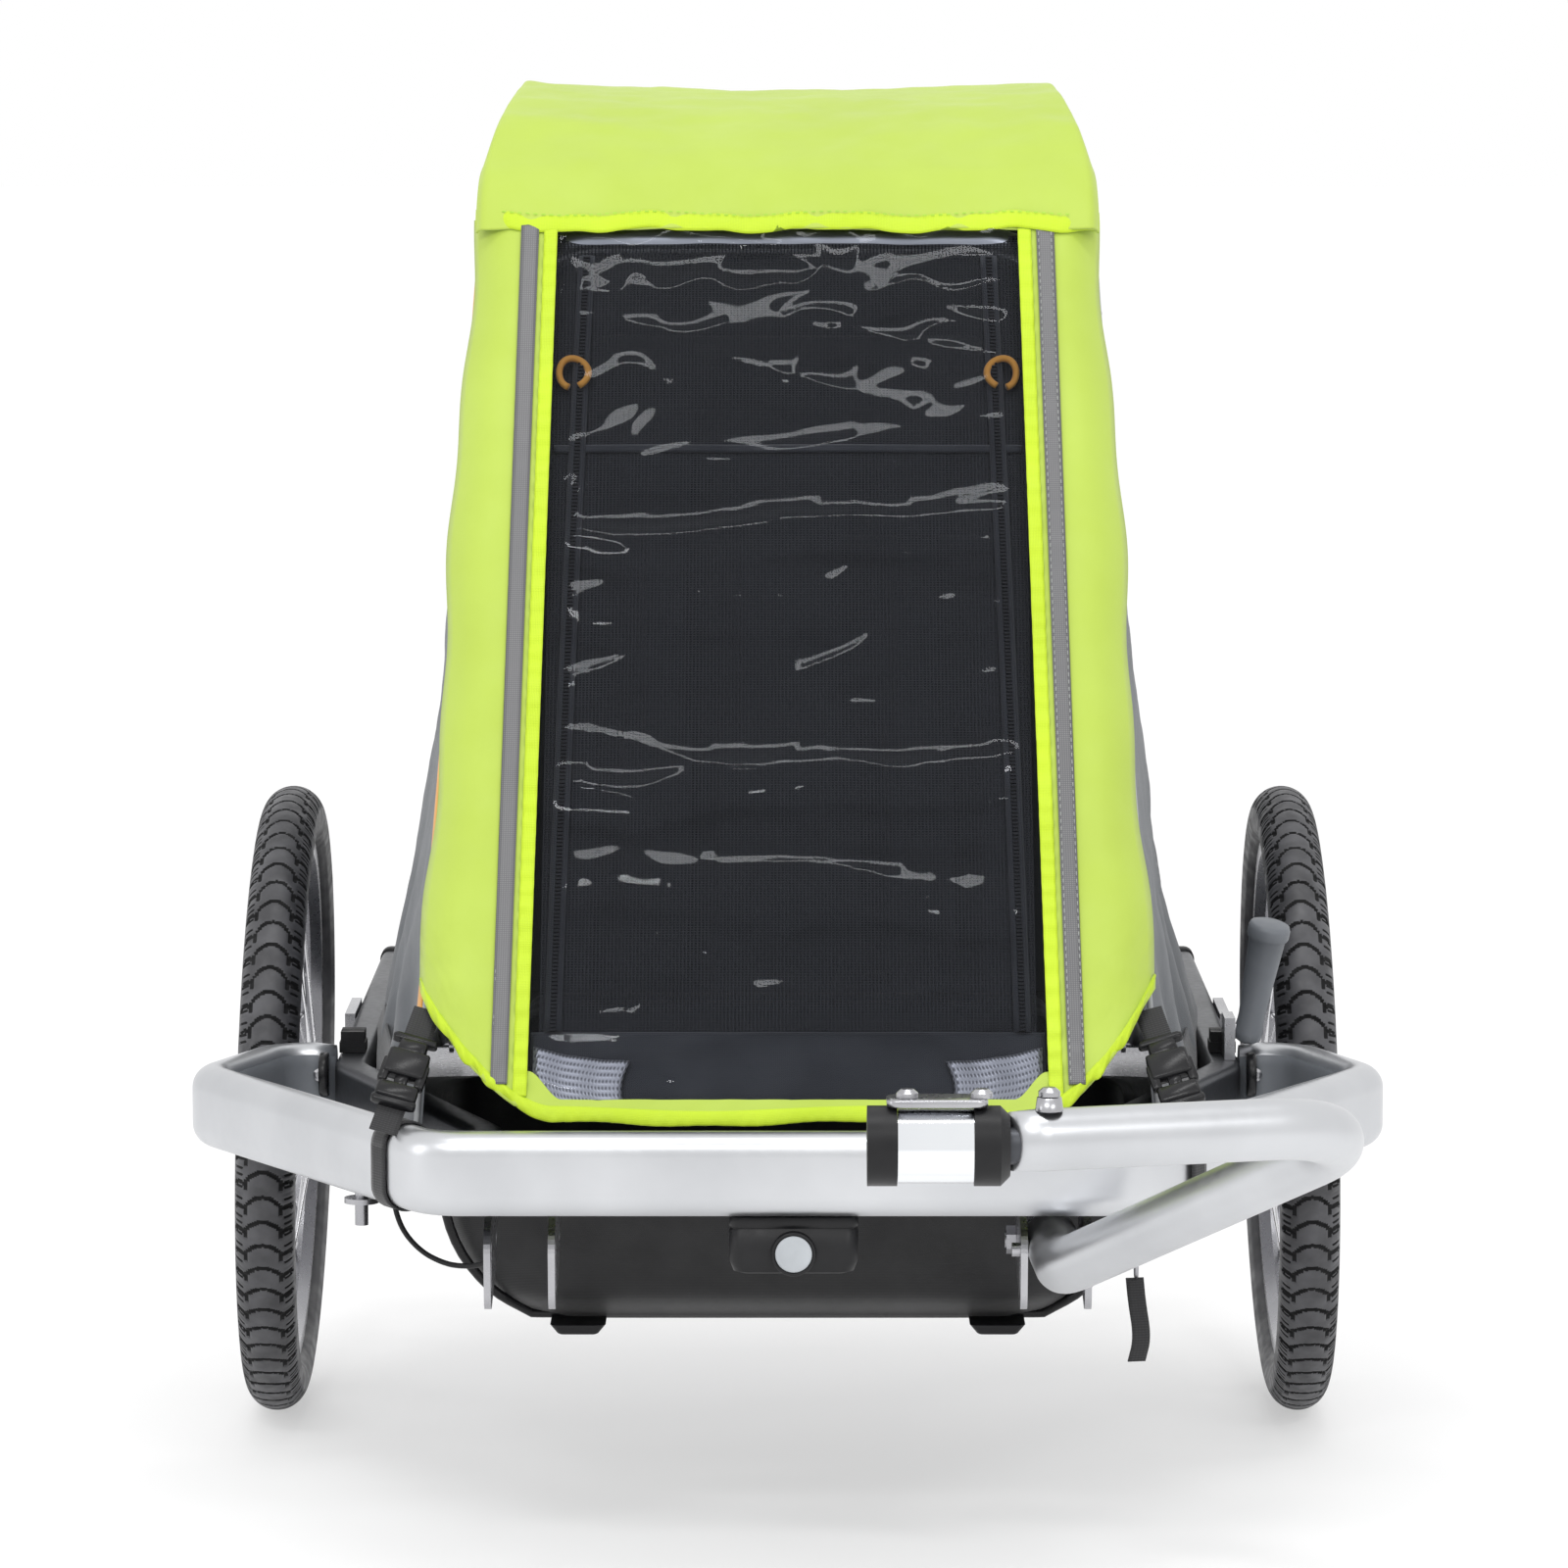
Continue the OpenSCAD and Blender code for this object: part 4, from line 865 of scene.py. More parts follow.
def build_sides():
    for tag, sg in SIDES:
        node = ("side_panel_" + tag,)
        rows_of = []
        for i in range(141):
            z = lerp(SIDE_LOW_Z, SIDE_HIGH_Z, i / 140)
            row = []
            for j in range(101):
                u = j / 100
                x, y = side_place(z, u)
                fade = smooth(u / 0.12) * smooth((1 - u) / 0.08) * smooth((z - 318) / 30) * smooth((960 - z) / 60)
                x += side_crease(y, z, sg) * fade
                row.append(at(sg * x, y, z))
            rows_of.append(row)
        panel = grid_piece("side_cloth_" + tag, rows_of, "grey_cloth", "chassis", node)
        soft(panel)
        # piping down the front edge and along the rear hoop
        for name, u, r in (("front", 0.012, 2.4), ("rear", 0.99, 2.2)):
            pts = []
            for i in range(91):
                z = lerp(SIDE_LOW_Z + 4, SIDE_HIGH_Z - 4, i / 90)
                x, y = side_place(z, u)
                pts.append(at(sg * (x + 1.4), y, z))
            soft(rod(f"side_piping_{name}_{tag}", pts, r / 1000, 10, "piping", node[0],
                     Vector((1, 0, 0))))
        # lower skirt, darker, hanging outside the rail
        skirt = []
        for i in range(13):
            z = lerp(300, 352, i / 12)
            row = []
            for j in range(81):
                x, y = side_place(max(z, SIDE_LOW_Z), 0.16 + 0.82 * j / 80)
                row.append(at(sg * (x + 1.8 + 0.8 * math.sin(y / 26) * smooth((346 - z) / 30)), y, z))
            skirt.append(row)
        soft(grid_piece("side_skirt_" + tag, skirt, "dark_cloth", "chassis", node, 0.0012))
        if sg < 0:
            trim = []
            for i in range(101):
                z = lerp(372, SIDE_HIGH_Z - 6, i / 100)
                row = []
                for j in range(7):
                    x, y = side_place(z, 0.022 + 0.032 * j / 6)
                    row.append(at(sg * (x + 2.2 + 0.9 * math.sin(math.pi * j / 6)), y, z))
                trim.append(row)
            soft(grid_piece("side_trim_left", trim, "orange", "chassis", node, 0.0012))
        gusset = []
        for i in range(61):
            y = lerp(-204, 84, i / 60)
            z_roof = roof_height(y) - 16
            x_low = side_place(944, side_u_at(944, y))[0]
            row = []
            for j in range(13):
                t = j / 12
                z = lerp(942, max(944, z_roof), t)
                x = lerp(x_low + 1.2, roof_half(z_roof) - 8, t) + 1.6 * math.sin(math.pi * t) * math.sin(y / 23)
                row.append(at(sg * x, y, z))
            gusset.append(row)
        soft(grid_piece("side_gusset_" + tag, gusset, "grey_cloth", "chassis", node, 0.001))
        # stitched seam along the front hoop
        path = []
        for i in range(90):
            z = lerp(330, 946, i / 89)
            x, y = side_place(z, 0.62)
            fade = smooth((z - 318) / 30) * smooth((960 - z) / 60)
            path.append(at(sg * (x + side_crease(y, z, sg) * fade + 0.9), y + 6, z))
        v, f = dashes(path, 0.0036, 0.0026, 0.0011, 0.0005, Vector((sg, 0, 0)))
        soft(piece("side_seam_stitches_" + tag, v, f, "piping", "chassis", node))
    build_back()


def build_back():
    """The grey cloth between the rear hoop's legs, with two reflective tapes."""
    def hoop_y(z):
        return REAR_PIVOT[1] - (REAR_PIVOT[1] - REAR_TOP[1]) * (z - RAIL_MM) / (REAR_TOP[2] - RAIL_MM)

    rows_of = []
    for i in range(101):
        z = lerp(322, 986, i / 100)
        leg_in = (REAR_PIVOT[0] - REAR_TOP[0]) * max(0, z - RAIL_MM - KNEE) / (REAR_TOP[2] - RAIL_MM - KNEE)
        x, y = REAR_PIVOT[0] - leg_in - 9.5, hoop_y(z)
        row = []
        for j in range(81):
            u = lerp(-1, 1, j / 80)
            fade = smooth((1 - abs(u)) / 0.12) * smooth((z - 322) / 30) * smooth((990 - z) / 40)
            row.append(at(x * u, y + (4.5 * ruck(x * u, z, 40, 110) + 1.2 * ruck(x * u, z, 44, 30)) * fade, z))
        rows_of.append(row)
    back = grid_piece("back_cloth", rows_of, "grey_cloth", "chassis", ("rear_panel",))
    soft(back)
    for k, (low, high, half) in enumerate(((470, 486, 170), (700, 712, 150))):
        band = []
        for i in range(5):
            z = lerp(low, high, i / 4)
            band.append([at(lerp(-half, half, j / 60), hoop_y(z) + 6.5 + 0.8 * math.sin(math.pi * i / 4)
                            + 4.5 * ruck(lerp(-half, half, j / 60), z, 40, 110), z) for j in range(61)])
        soft(grid_piece(f"back_tape_{k}", band, "stripe", "chassis", ("rear_panel",), 0.001))


# ---------------------------------------------------------------- frame tubes
def mirrored(points):
    return points + [Vector((-p.x, p.y, p.z)) for p in reversed(points)]


def build_frame():
    """The frame's bent tubes and what is fixed to them."""
    half = [at(-343.3, -265, RAIL_MM), at(-388, -265, RAIL_MM), at(-431, -378, RAIL_MM), at(-250, -683, RAIL_MM)]
    tube("bumper_tube", mirrored(half), [0, 40, 40, 36, 36, 40, 40, 0], rounded_box(0.034, 0.060, 0.0165, 9),
         "alu", "chassis", ("bumper",))
    for tag, sg in SIDES:
        tube("rail_tube_" + tag, [at(sg * RAIL_X, 340, RAIL_MM), at(sg * RAIL_X, -300, RAIL_MM),
                                  at(sg * 215, -600, RAIL_MM), at(sg * 215, -665.7, RAIL_MM)],
             [0, 70, 40, 0], rounded_box(0.026, 0.040, 0.006, 5),
             "dark_steel", "chassis", ("side_rail_" + tag,))
        v, f = lathe([(-0.001, 0.0), (-0.001, 0.0158), (0, 0.017), (0.005, 0.017), (0.0062, 0.0158), (0.0062, 0)],
                     at(sg * 349, -282.3, 312), at(sg * 358, -282.3, 312), 36)
        piece("bumper_cap_" + tag, v, f, "gloss", "chassis", ("bumper",))
    # painted shade: the inward and front-facing faces of the bumper's return legs near the body get the dark grey
    # plastic, for the shade that falls on them
    dark = bpy.data.objects["bumper_tube"]
    dark.data.materials.append(LOOKS["grey"])
    for poly in dark.data.polygons:
        c, n = poly.center, poly.normal
        faces_in_shade = n.x * math.copysign(1, c.x) < -0.3 or (abs(c.x) < 0.40 and n.y < -0.35)
        if abs(c.x) > 0.335 and c.y > AXLE_Y - 0.40 and faces_in_shade and abs(n.z) < 0.5:
            poly.material_index = 1
    tube("drawbar_tube", [at(192, -478, 222), at(192, -730, 246), at(388, -1045, 398), at(141.2, -1148, 403.5)],
         [0, 70, 75, 0], circle(0.020, 48), "alu", "drawbar", ("drawbar",))
    start, along = at(192, -478, 222), unit(at(192, -478, 222) - at(192, -730, 246))
    v, f = lathe([(0.012 * math.sin(a * math.pi / 16), 0.020 * math.cos(a * math.pi / 16)) for a in range(9)],
                 start, start + along, 48)
    piece("drawbar_plug", v, f, "alu", "drawbar", ("drawbar",))
    # the hitch's steel saddle and the raised seats of its bolts
    verts = [at(94 + a, -1148 + b, z) for z, k in ((426.9, 0.97), (427.6, 1), (431.0, 1), (431.7, 0.97))
             for a, b in [(p * k, q * k) for p, q in rounded_box(64, 30, 7, 6)]]
    m = len(verts) // 4
    faces = grid_faces(4, m, close=True) + [tuple(reversed(range(m))), tuple(3 * m + k for k in range(m))]
    seat = lathe([(0, 0.009), (0.0085, 0.0078), (0.0088, 0)], at(165, -1144, 422.6), at(165, -1144, 440), 32)
    v, f = join([(verts, faces), seat])
    piece("hitch_saddle", v, f, "steel", "drawbar", ("hitch_yoke",))
    for name, body, r, low, top, bend, node in (
            ("front_hoop_tube", "front_hoop", 0.012, FRONT_PIVOT, FRONT_TOP, 70, "front_hoop"),
            ("rear_hoop_tube", "rear_hoop", 0.011, REAR_PIVOT, REAR_TOP, 45, "rear_hoop")):
        low, top = (at(-x, y, z) for x, y, z in (low, top))
        t = KNEE / (top.z - low.z) / 1000
        knee = Vector((low.x, lerp(low.y, top.y, t), low.z + KNEE / 1000))
        tube(name, mirrored([low, knee, top]), [0, 60, bend, bend, 60, 0], circle(r, 28), "alu", body,
             (node,))
    for v in bpy.data.objects["rear_hoop_tube"].data.vertices:
        # the top bar bows down a little under the roof
        if v.co.z > 1.02:
            v.co.z -= 0.0065 * (1 - min(1, abs(v.co.x) / 0.19) ** 2)


def build_push_bar():
    """The push bar and its foam grip."""
    bar = [at(-PUSH_X, 108.1, 800), at(-PUSH_X, GRIP_Y, GRIP_Z)]
    tube("push_tube", mirrored(bar), [0, 60, 60, 0], circle(0.009, 24), "alu", "push_bar", ("push_bar",),
         ref=Vector((0, -0.45, 0.9)))
    # a foam grip with ribs and rounded ends
    profile = [(0, 0.0095)]
    n = 120
    for k in range(n + 1):
        d = 0.240 * k / n
        end = min(d, 0.240 - d)
        r = 0.0148 - 0.003 * max(0, 1 - end / 0.006) ** 2 + 0.00035 * math.sin(d * 2 * math.pi / 0.006)
        profile.append((d, r))
    profile.append((0.240, 0.0095))
    v, f = lathe(profile, at(-120, GRIP_Y, GRIP_Z), at(120, GRIP_Y, GRIP_Z), 40)
    piece("grip_foam", v, f, "foam", "push_bar", ("push_grip",))


def build_axle():
    for tag, sg in SIDES:
        # a boot over the end of each rail
        cap = [(at(sg * RAIL_X, y, RAIL_MM), Vector((0, 1, 0))) for y in (322, 340, 343)]
        v, f = sweep(cap, rounded_box(0.029, 0.043, 0.008, 6))
        piece("rail_boot_" + tag, v, f, "black", "chassis", ("side_rail_" + tag,))


# ---------------------------------------------------------------- wheels
TREAD_PITCH = 2 * math.pi * WHEEL_R / 78  # mm from one scale to the next


def build_tyres():
    for tag, sg in SIDES:
        low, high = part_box(tag + "_rim")
        centre = (low + high) / 2
        axis = Vector((math.cos(CAMBER), 0, sg * math.sin(CAMBER)))
        up = unit(UP - axis * UP.dot(axis))
        fore = axis.cross(up)
        ring, prof = 1440, 64
        verts, groove_shade_depths = [], []
        for i in range(ring):
            a = 2 * math.pi * i / ring
            radial = up * math.cos(a) + fore * math.sin(a)
            along = a * WHEEL_R
            for j in range(prof):
                # j runs round the section from one bead over the tread to the other bead
                b = math.radians(lerp(-152, 152, j / (prof - 1)))
                side, out = TYRE_SECTION_R * math.sin(b), TYRE_SECTION_R * math.cos(b)
                across = abs(math.degrees(b))
                depth = 0.0
                if across < 72:
                    arc_mm = math.radians(across) * TYRE_SECTION_R
                    # a wide row of scales in the middle, and a narrow one at each shoulder half a pitch on
                    near = abs(arc_mm - 21) if arc_mm > 14 else arc_mm
                    shift = TREAD_PITCH / 2 if arc_mm > 14 else 0
                    scale = (along + shift - 0.042 * near ** 2) % TREAD_PITCH
                    groove = smooth((1.3 - abs(scale - 9)) / 0.5)
                    sipe = (along + shift) % (TREAD_PITCH / 4) - TREAD_PITCH / 8
                    groove = max(groove, 0.8 * smooth((0.6 - abs(sipe)) / 0.4) * (arc_mm > 17))
                    groove = max(groove, smooth((0.8 - abs(arc_mm - 14)) / 0.4) * (abs(scale - 9) < 5))
                    groove = max(groove, smooth((0.8 - abs(arc_mm - 25)) / 0.4))
                    depth = 1.6 * groove
                elif 92 < across < 96 or 118 < across < 121:
                    depth = -0.45
                out -= depth * math.cos(b)
                side -= depth * math.sin(b)
                # the groove depth at each point, which picks the faces that get the painted groove shade
                groove_shade_depths.append(max(0, depth))
                verts.append(centre + radial * ((226.5 + out) / 1000) + axis * (side / 1000))
        faces = [(i * prof + j, i * prof + j + 1, ((i + 1) % ring) * prof + j + 1, ((i + 1) % ring) * prof + j)
                 for i in range(ring) for j in range(prof - 1)]
        tyre = piece("tread_" + tag, verts, faces, "tyre", tag + "_wheel", (tag + "_tyre",))
        # painted shade: faces deep in the tread grooves get the near-black groove rubber
        tyre.data.materials.append(LOOKS["groove"])
        for poly in tyre.data.polygons:
            if sum(groove_shade_depths[i] for i in poly.vertices) > 1.3:
                poly.material_index = 1


# ---------------------------------------------------------------- padded seats and bag
def puff(obj, pressure, size, most):
    """Fills a shell with air in the cloth solver; no point moves more than most, in metres."""
    mod = obj.modifiers.new("remesh", "REMESH")
    mod.mode = "VOXEL"
    mod.voxel_size = size * 1
    apply_modifiers(obj)
    before = [v.co.copy() for v in obj.data.vertices]
    mod = obj.modifiers.new("air", "CLOTH")
    s = mod.settings
    s.use_pressure = True
    s.uniform_pressure_force = pressure
    s.quality = 5
    s.mass = 0.3
    s.tension_stiffness = s.compression_stiffness = 15
    s.effector_weights.gravity = 0
    mod.point_cache.frame_start, mod.point_cache.frame_end = 1, 16
    scene = bpy.context.scene
    for n in range(1, 17):
        scene.frame_set(n)
        bpy.context.view_layer.update()
    apply_modifiers(obj)
    scene.frame_set(1)
    for v, p in zip(obj.data.vertices, before):
        d = v.co - p
        if d.length > most:
            v.co = p + d * (most / d.length)
    obj.data.polygons.foreach_set("use_smooth", [True] * len(obj.data.polygons))
    return obj


def apply_modifiers(obj):
    deps = bpy.context.evaluated_depsgraph_get()
    mesh = bpy.data.meshes.new_from_object(obj.evaluated_get(deps))
    obj.modifiers.clear()
    obj.data = mesh


def box_uv(obj):
    """A UV map in metres from whichever side each face looks to."""
    layer = obj.data.uv_layers.new(name="metres")
    for poly in obj.data.polygons:
        n = poly.normal
        k = max(range(3), key=lambda i: abs(n[i]))
        a, b = [i for i in range(3) if i != k]
        for i in poly.loop_indices:
            co = obj.data.vertices[obj.data.loops[i].vertex_index].co
            layer.data[i].uv = (co[a], co[b])


def cushion(name, low, high, low_back, look, node, channels):
    """A padded slab between two end sections, quilted with sewn channels across its face."""
    verts, faces = [], []
    rows, cols = 60, 44
    (x0, y0, z0, depth0), (x1, y1, z1, depth1) = low, high
    for face in (0, 1):
        for i in range(rows + 1):
            t = i / rows
            half, y, z, depth = lerp(x0, x1, t), lerp(y0, y1, t), lerp(z0, z1, t), lerp(depth0, depth1, t)
            for j in range(cols + 1):
                u = lerp(-1, 1, j / cols)
                edge = min(1, (1 - abs(u)) / 0.09, t / 0.05, (1 - t) / 0.05)
                round_in = 1 - math.sqrt(max(0, 1 - (1 - edge) ** 2))
                quilt = 4.0 * smooth(1 - abs((t * channels) % 1 - 0.5) / 0.16)
                swell = depth / 2 * (1 - round_in) - (quilt if face == 0 else 0) * min(1, edge * 2)
                off = (-1 if face == 0 else 1) * max(0.2, swell)
                direction = Vector((0, z1 - z0, y0 - y1)).normalized() if not low_back else Vector((0, 0, -1))
                p = at(half * u, y, z) + direction * (off / 1000)
                verts.append(p)
    n = (rows + 1) * (cols + 1)
    for i in range(rows):
        for j in range(cols):
            a = i * (cols + 1) + j
            faces.append((a, a + cols + 1, a + cols + 2, a + 1))
            faces.append((n + a, n + a + 1, n + a + cols + 2, n + a + cols + 1))
    rim = [j for j in range(cols + 1)] + [i * (cols + 1) + cols for i in range(1, rows + 1)] + \
          [rows * (cols + 1) + j for j in range(cols - 1, -1, -1)] + [i * (cols + 1) for i in range(rows - 1, 0, -1)]
    for a, b in zip(rim, rim[1:] + rim[:1]):
        faces.append((a, b, n + b, n + a))
    return piece(name, verts, faces, look, "chassis", (node,))


def build_seats():
    back = cushion("back_cushion", (202, 62, 279, 26), (158, 31, 866, 22), False, "grey_cloth", "seat_back",
                   5)
    puff(back, 2.0, size=0.008, most=0.003)
    box_uv(back)
    soft(back)
    base = cushion("seat_cushion", (220, -84, 301, 58), (218, 42, 301, 58), True, "dark_cloth", "seat_base",
                   3)
    puff(base, 2.0, size=0.008, most=0.003)
    box_uv(base)
    # harness straps over the back: two for each seat, with chest pads
    for k, x in enumerate((-138, -62, 62, 138)):
        rows_of = []
        for i in range(60):
            t = i / 59
            y = lerp(45, 16, t) + 1.5 * math.sin(t * 9)
            z = lerp(336, 800, t)
            xx = x + (8 if x > 0 else -8) * (1 - t) + 2 * math.sin(t * 6)
            rows_of.append([at(xx + w, y - 3.2, z) for w in (-12, -4, 4, 12)])
        soft(grid_piece(f"harness_strap_{k}", rows_of, "web", "chassis", ("seat_back",), 0.0016))
        rows_of = []
        for i in range(30):
            t = i / 29
            y = lerp(33, 24, t)
            z = lerp(545, 700, t)
            bulge = 5.5 * math.sin(math.pi * t) ** 0.35
            rows_of.append([at(x + 3 + w, y - 5 - bulge * math.cos(w / 24 * math.pi / 2), z)
                            for w in (-22, -17, -11, 0, 11, 17, 22)])
        soft(grid_piece(f"harness_pad_{k}", rows_of, "dark_cloth", "chassis", ("seat_back",), 0.003))


def build_bag():
    """The luggage bag: an open-topped sack hung from its rim, slack in its faces."""
    rows_of = []
    n = 121
    for i in range(57):
        t = i / 56
        z = lerp(271, 598, t)
        hx, y0, y1 = lerp(224, 205, t), lerp(123, 119, t), lerp(268, 208, t)
        row = []
        for j in range(n):
            a = 2 * math.pi * j / (n - 1)
            c, s = math.cos(a), math.sin(a)
            e = 0.24
            x = hx * math.copysign(abs(c) ** e, c)
            y = (y0 + y1) / 2 + (y1 - y0) / 2 * math.copysign(abs(s) ** e, s)
            slack = 5.0 * ruck(x, z, 50 + math.copysign(1, s), 90) + 2.0 * ruck(x + y, z, 55, 34)
            slack = abs(slack * math.sin(math.pi * t) ** 0.5) * 0.6 * (1 if s > 0 else -0.4)
            bottom = 1 - smooth(t / 0.10)
            k = 1 - 0.05 * bottom
            row.append(at(x * k, (y - (y0 + y1) / 2) * k + (y0 + y1) / 2 - slack, z))
        rows_of.append(row)
    bottom = [[at(p.x * 1000 * r, (p.y - AXLE_Y) * 1000 + (195.5 - (p.y - AXLE_Y) * 1000) * (1 - r), 271)
               for p in rows_of[0]] for r in (0.01, 0.5, 0.93)]
    bag = grid_piece("bag_cloth", bottom + rows_of, "black_cloth", "chassis", ("luggage_bag",), 0)
    rim = [p + Vector((0, 0, 0.001)) for p in rows_of[-1]]
    dirs = [unit(rim[(k + 1) % (n - 1)] - rim[k - 1 if k else n - 2]) for k in range(n)]
    v, f = sweep(list(zip(rim, dirs)), circle(0.0038, 10))
    piece("bag_binding", v, f, "piping", "chassis", ("luggage_bag",))
    flap = []
    for i in range(25):
        t = i / 24
        flap.append([at(lerp(-200, 200, j / 60), lerp(122, 204, t),
                        600 + 3.5 * math.sin(math.pi * t) + 2 * ruck(lerp(-200, 200, j / 60), 80 * t, 58, 60)
                        * math.sin(math.pi * t)) for j in range(61)])
    grid_piece("bag_lid", flap, "black_cloth", "chassis", ("luggage_bag",), 0.0015)
    for k, x in enumerate((-110, 110)):
        band = [[at(x + w, lerp(268, 208, smooth((z - 290) / 300)) + 2.5, z) for w in (-12, -4, 4, 12)]
                for z in range(300, 596, 8)]
        grid_piece(f"bag_strap_{k}", band, "web", "chassis", ("luggage_bag",), 0.0016)


# ---------------------------------------------------------------- tub, straps, socket, lever
def build_tub():
    """The moulded fabric footwell: rounded lower corners, soft dents and a webbing edge."""
    rows_of = []
    n = 181
    for i in range(49):
        t = i / 48
        z = lerp(150.5, 283.4, t)
        hx = 259 - 66 * (1 - t) ** 3.2
        hy = lerp(150, 178, t) - 18 * (1 - smooth(t / 0.22)) ** 2
        yc = lerp(-275, -278, t)
        row = []
        for j in range(n):
            a = 2 * math.pi * j / (n - 1)
            c, s = math.cos(a), math.sin(a)
            e = 0.2
            x = hx * math.copysign(abs(c) ** e, c)
            y = yc + hy * math.copysign(abs(s) ** e, s)
            dent = 1.3 * ruck(x, z, 60 + math.copysign(1, s), 60) * math.sin(math.pi * t)
            row.append(at(x, y + dent * math.copysign(1, s), z))
        rows_of.append(row)
    floor_rows = []
    for r in (0.01, 0.35, 0.7, 0.93):
        floor_rows.append([at(p.x * 1000 * r, -275 + ((p.y - AXLE_Y) * 1000 + 275) * r, 150.2) for p in rows_of[0]])
    top = rows_of[-1]
    flange = [[at(p.x * 1000 * (1 + 0.07 * k), (p.y - AXLE_Y) * 1000, 283.0) for p in top] for k in (1, 2, 3)]
    grid_piece("tub_shell", floor_rows + rows_of + flange, "black_cloth", "chassis",
               ("floor_tub",), 0.0022, offset=1.0)
    trim = []
    for k in range(5):
        lift = lerp(261, 279, k / 4)
        t = (lift - 150.5) / 132.9
        trim.append([])
        for p in rows_of[int(t * 48)]:
            out = Vector((p.x, p.y - (AXLE_Y - 0.277), 0))
            out.normalize()
            q = p + out * (0.0022 + 0.0008 * math.sin(math.pi * k / 4))
            q.z = lift / 1000
            trim[-1].append(q)
    grid_piece("tub_webbing", trim, "web", "chassis", ("floor_tub",), 0.0012)
    # piping along the lower front edge and up both front corners
    edge = []
    for k in range(81):
        u = lerp(-1, 1, k / 80)
        t = max(0, (abs(u) - 0.62) / 0.38) ** 1.6
        x = math.copysign((259 - 66 * (1 - t) ** 3.2) if abs(u) > 0.62 else abs(u) / 0.62 * 193, u)
        edge.append(at(x * 0.985, lerp(-275, -278, t) - (lerp(150, 178, t) - 18 * (1 - smooth(t / 0.22)) ** 2) * 0.97,
                       lerp(150.5, 283.4, t) + 1))
    rod("tub_piping", edge, 0.0036, 10, "gloss", "floor_tub", Vector((0, 1, 0)))


def build_feet():
    for tag, sg in SIDES:
        verts = []
        for z, w, l in ((142.6, 14, 47), (143.4, 15.2, 48.4), (149.9, 20.5, 50)):
            verts += [at(sg * 155 + a * w / 20, -395 + b * l / 50, z) for a, b in rounded_box(40, 100, 5, 5)]
        m = len(verts) // 3
        faces = grid_faces(3, m, close=True) + [tuple(reversed(range(m))), tuple(2 * m + k for k in range(m))]
        piece("tub_foot_" + tag, verts, faces, "black", "chassis", ("floor_feet",), smooth=False)


def strap_ribbon(name, points, width, turn, node="cover_straps", body="chassis"):
    """A flat strap along points, its width along a given direction."""
    smoothed = points
    for _ in range(3):
        longer = [smoothed[0]]
        for a, b in zip(smoothed, smoothed[1:]):
            longer += [a.lerp(b, 0.25), a.lerp(b, 0.75)]
        smoothed = longer + [smoothed[-1]]
    rows_of = [[p + turn * (w * width / 2) for w in (-1, -0.6, -0.2, 0.2, 0.6, 1)] for p in smoothed]
    return grid_piece(name, rows_of, "web", body, (node,) if node else (), 0.0014, offset=0.0)


def buckle(name, centre, along, out, node):
    """A side-release buckle: waisted body, two sprung arms and two strap bars."""
    side = unit(out.cross(along))

    def block(x0, x1, y0, y1, z0, z1, bevel=0.0012):
        base = rounded_box(x1 - x0, y1 - y0, min(bevel * 1.6, (x1 - x0) * 0.4, (y1 - y0) * 0.4), 4)
        cx, cy = (x0 + x1) / 2, (y0 + y1) / 2
        levels = ((z0, 0.9), (z0 + 0.0008, 1), (z1 - 0.0008, 1), (z1, 0.9))
        v = [centre + (side * (cx + a * k) + along * (cy + b * k) + out * z) * 1.18
             for z, k in levels for a, b in base]
        m = len(base)
        f = grid_faces(4, m, close=True) + [tuple(reversed(range(m))), tuple(3 * m + i for i in range(m))]
        return v, f

    parts = [block(-0.0125, 0.0125, -0.002, 0.017, 0, 0.0085), block(-0.0085, 0.0085, 0.0165, 0.026, 0.001, 0.0075),
             block(-0.0138, 0.0138, 0.0255, 0.030, 0.0015, 0.007),
             block(-0.0142, -0.0085, -0.009, 0.010, 0.0018, 0.0072),
             block(0.0085, 0.0142, -0.009, 0.010, 0.0018, 0.0072),
             block(-0.0125, 0.0125, -0.020, -0.009, 0.001, 0.0078),
             block(-0.0138, 0.0138, -0.0245, -0.0195, 0.0015, 0.007),
             block(-0.004, 0.004, -0.0095, 0.0, 0.002, 0.0065)]
    v, f = join(parts)
    return piece(name, v, f, "gloss", "chassis", (node,))


def build_straps():
    """Webbing from the bumper's corners to the cover, with a buckle on each side."""
    for tag, sg in SIDES:
        # a ring of webbing round the bumper's corner
        turn = math.radians(30.7)
        u = Vector((sg * math.cos(turn), -math.sin(turn), 0))
        w = Vector((-sg * math.sin(turn), -math.cos(turn), 0))
        c = at(sg * 273, -644, RAIL_MM)
        pts = [c + u * a + UP * b for a, b in rounded_box(0.0385, 0.0645, 0.018, 8)]
        pts.append(pts[0])
        rows_of = [[p + w * k for k in (-0.010, -0.006, 0, 0.006, 0.010)] for p in pts]
        grid_piece("strap_round_" + tag, rows_of, "web", "chassis", ("cover_straps",), 0.0014)
        low, high = at(sg * 284, -662, 333), at(sg * 262, -592, 392)
        along = unit(high - low)
        out = unit(Vector((sg * -0.1, -0.72, 0.62)))
        out = unit(out - along * out.dot(along))
        across = unit(out.cross(along))
        mid = low.lerp(high, 0.5)
        strap_ribbon("strap_low_" + tag, [low - along * 0.004, low, mid - along * 0.018], 0.020, across)
        strap_ribbon("strap_high_" + tag, [mid + along * 0.022, high, high + along * 0.020], 0.020, across)
        buckle("side_buckle_" + tag, mid - out * 0.001, along, out, "strap_buckles")


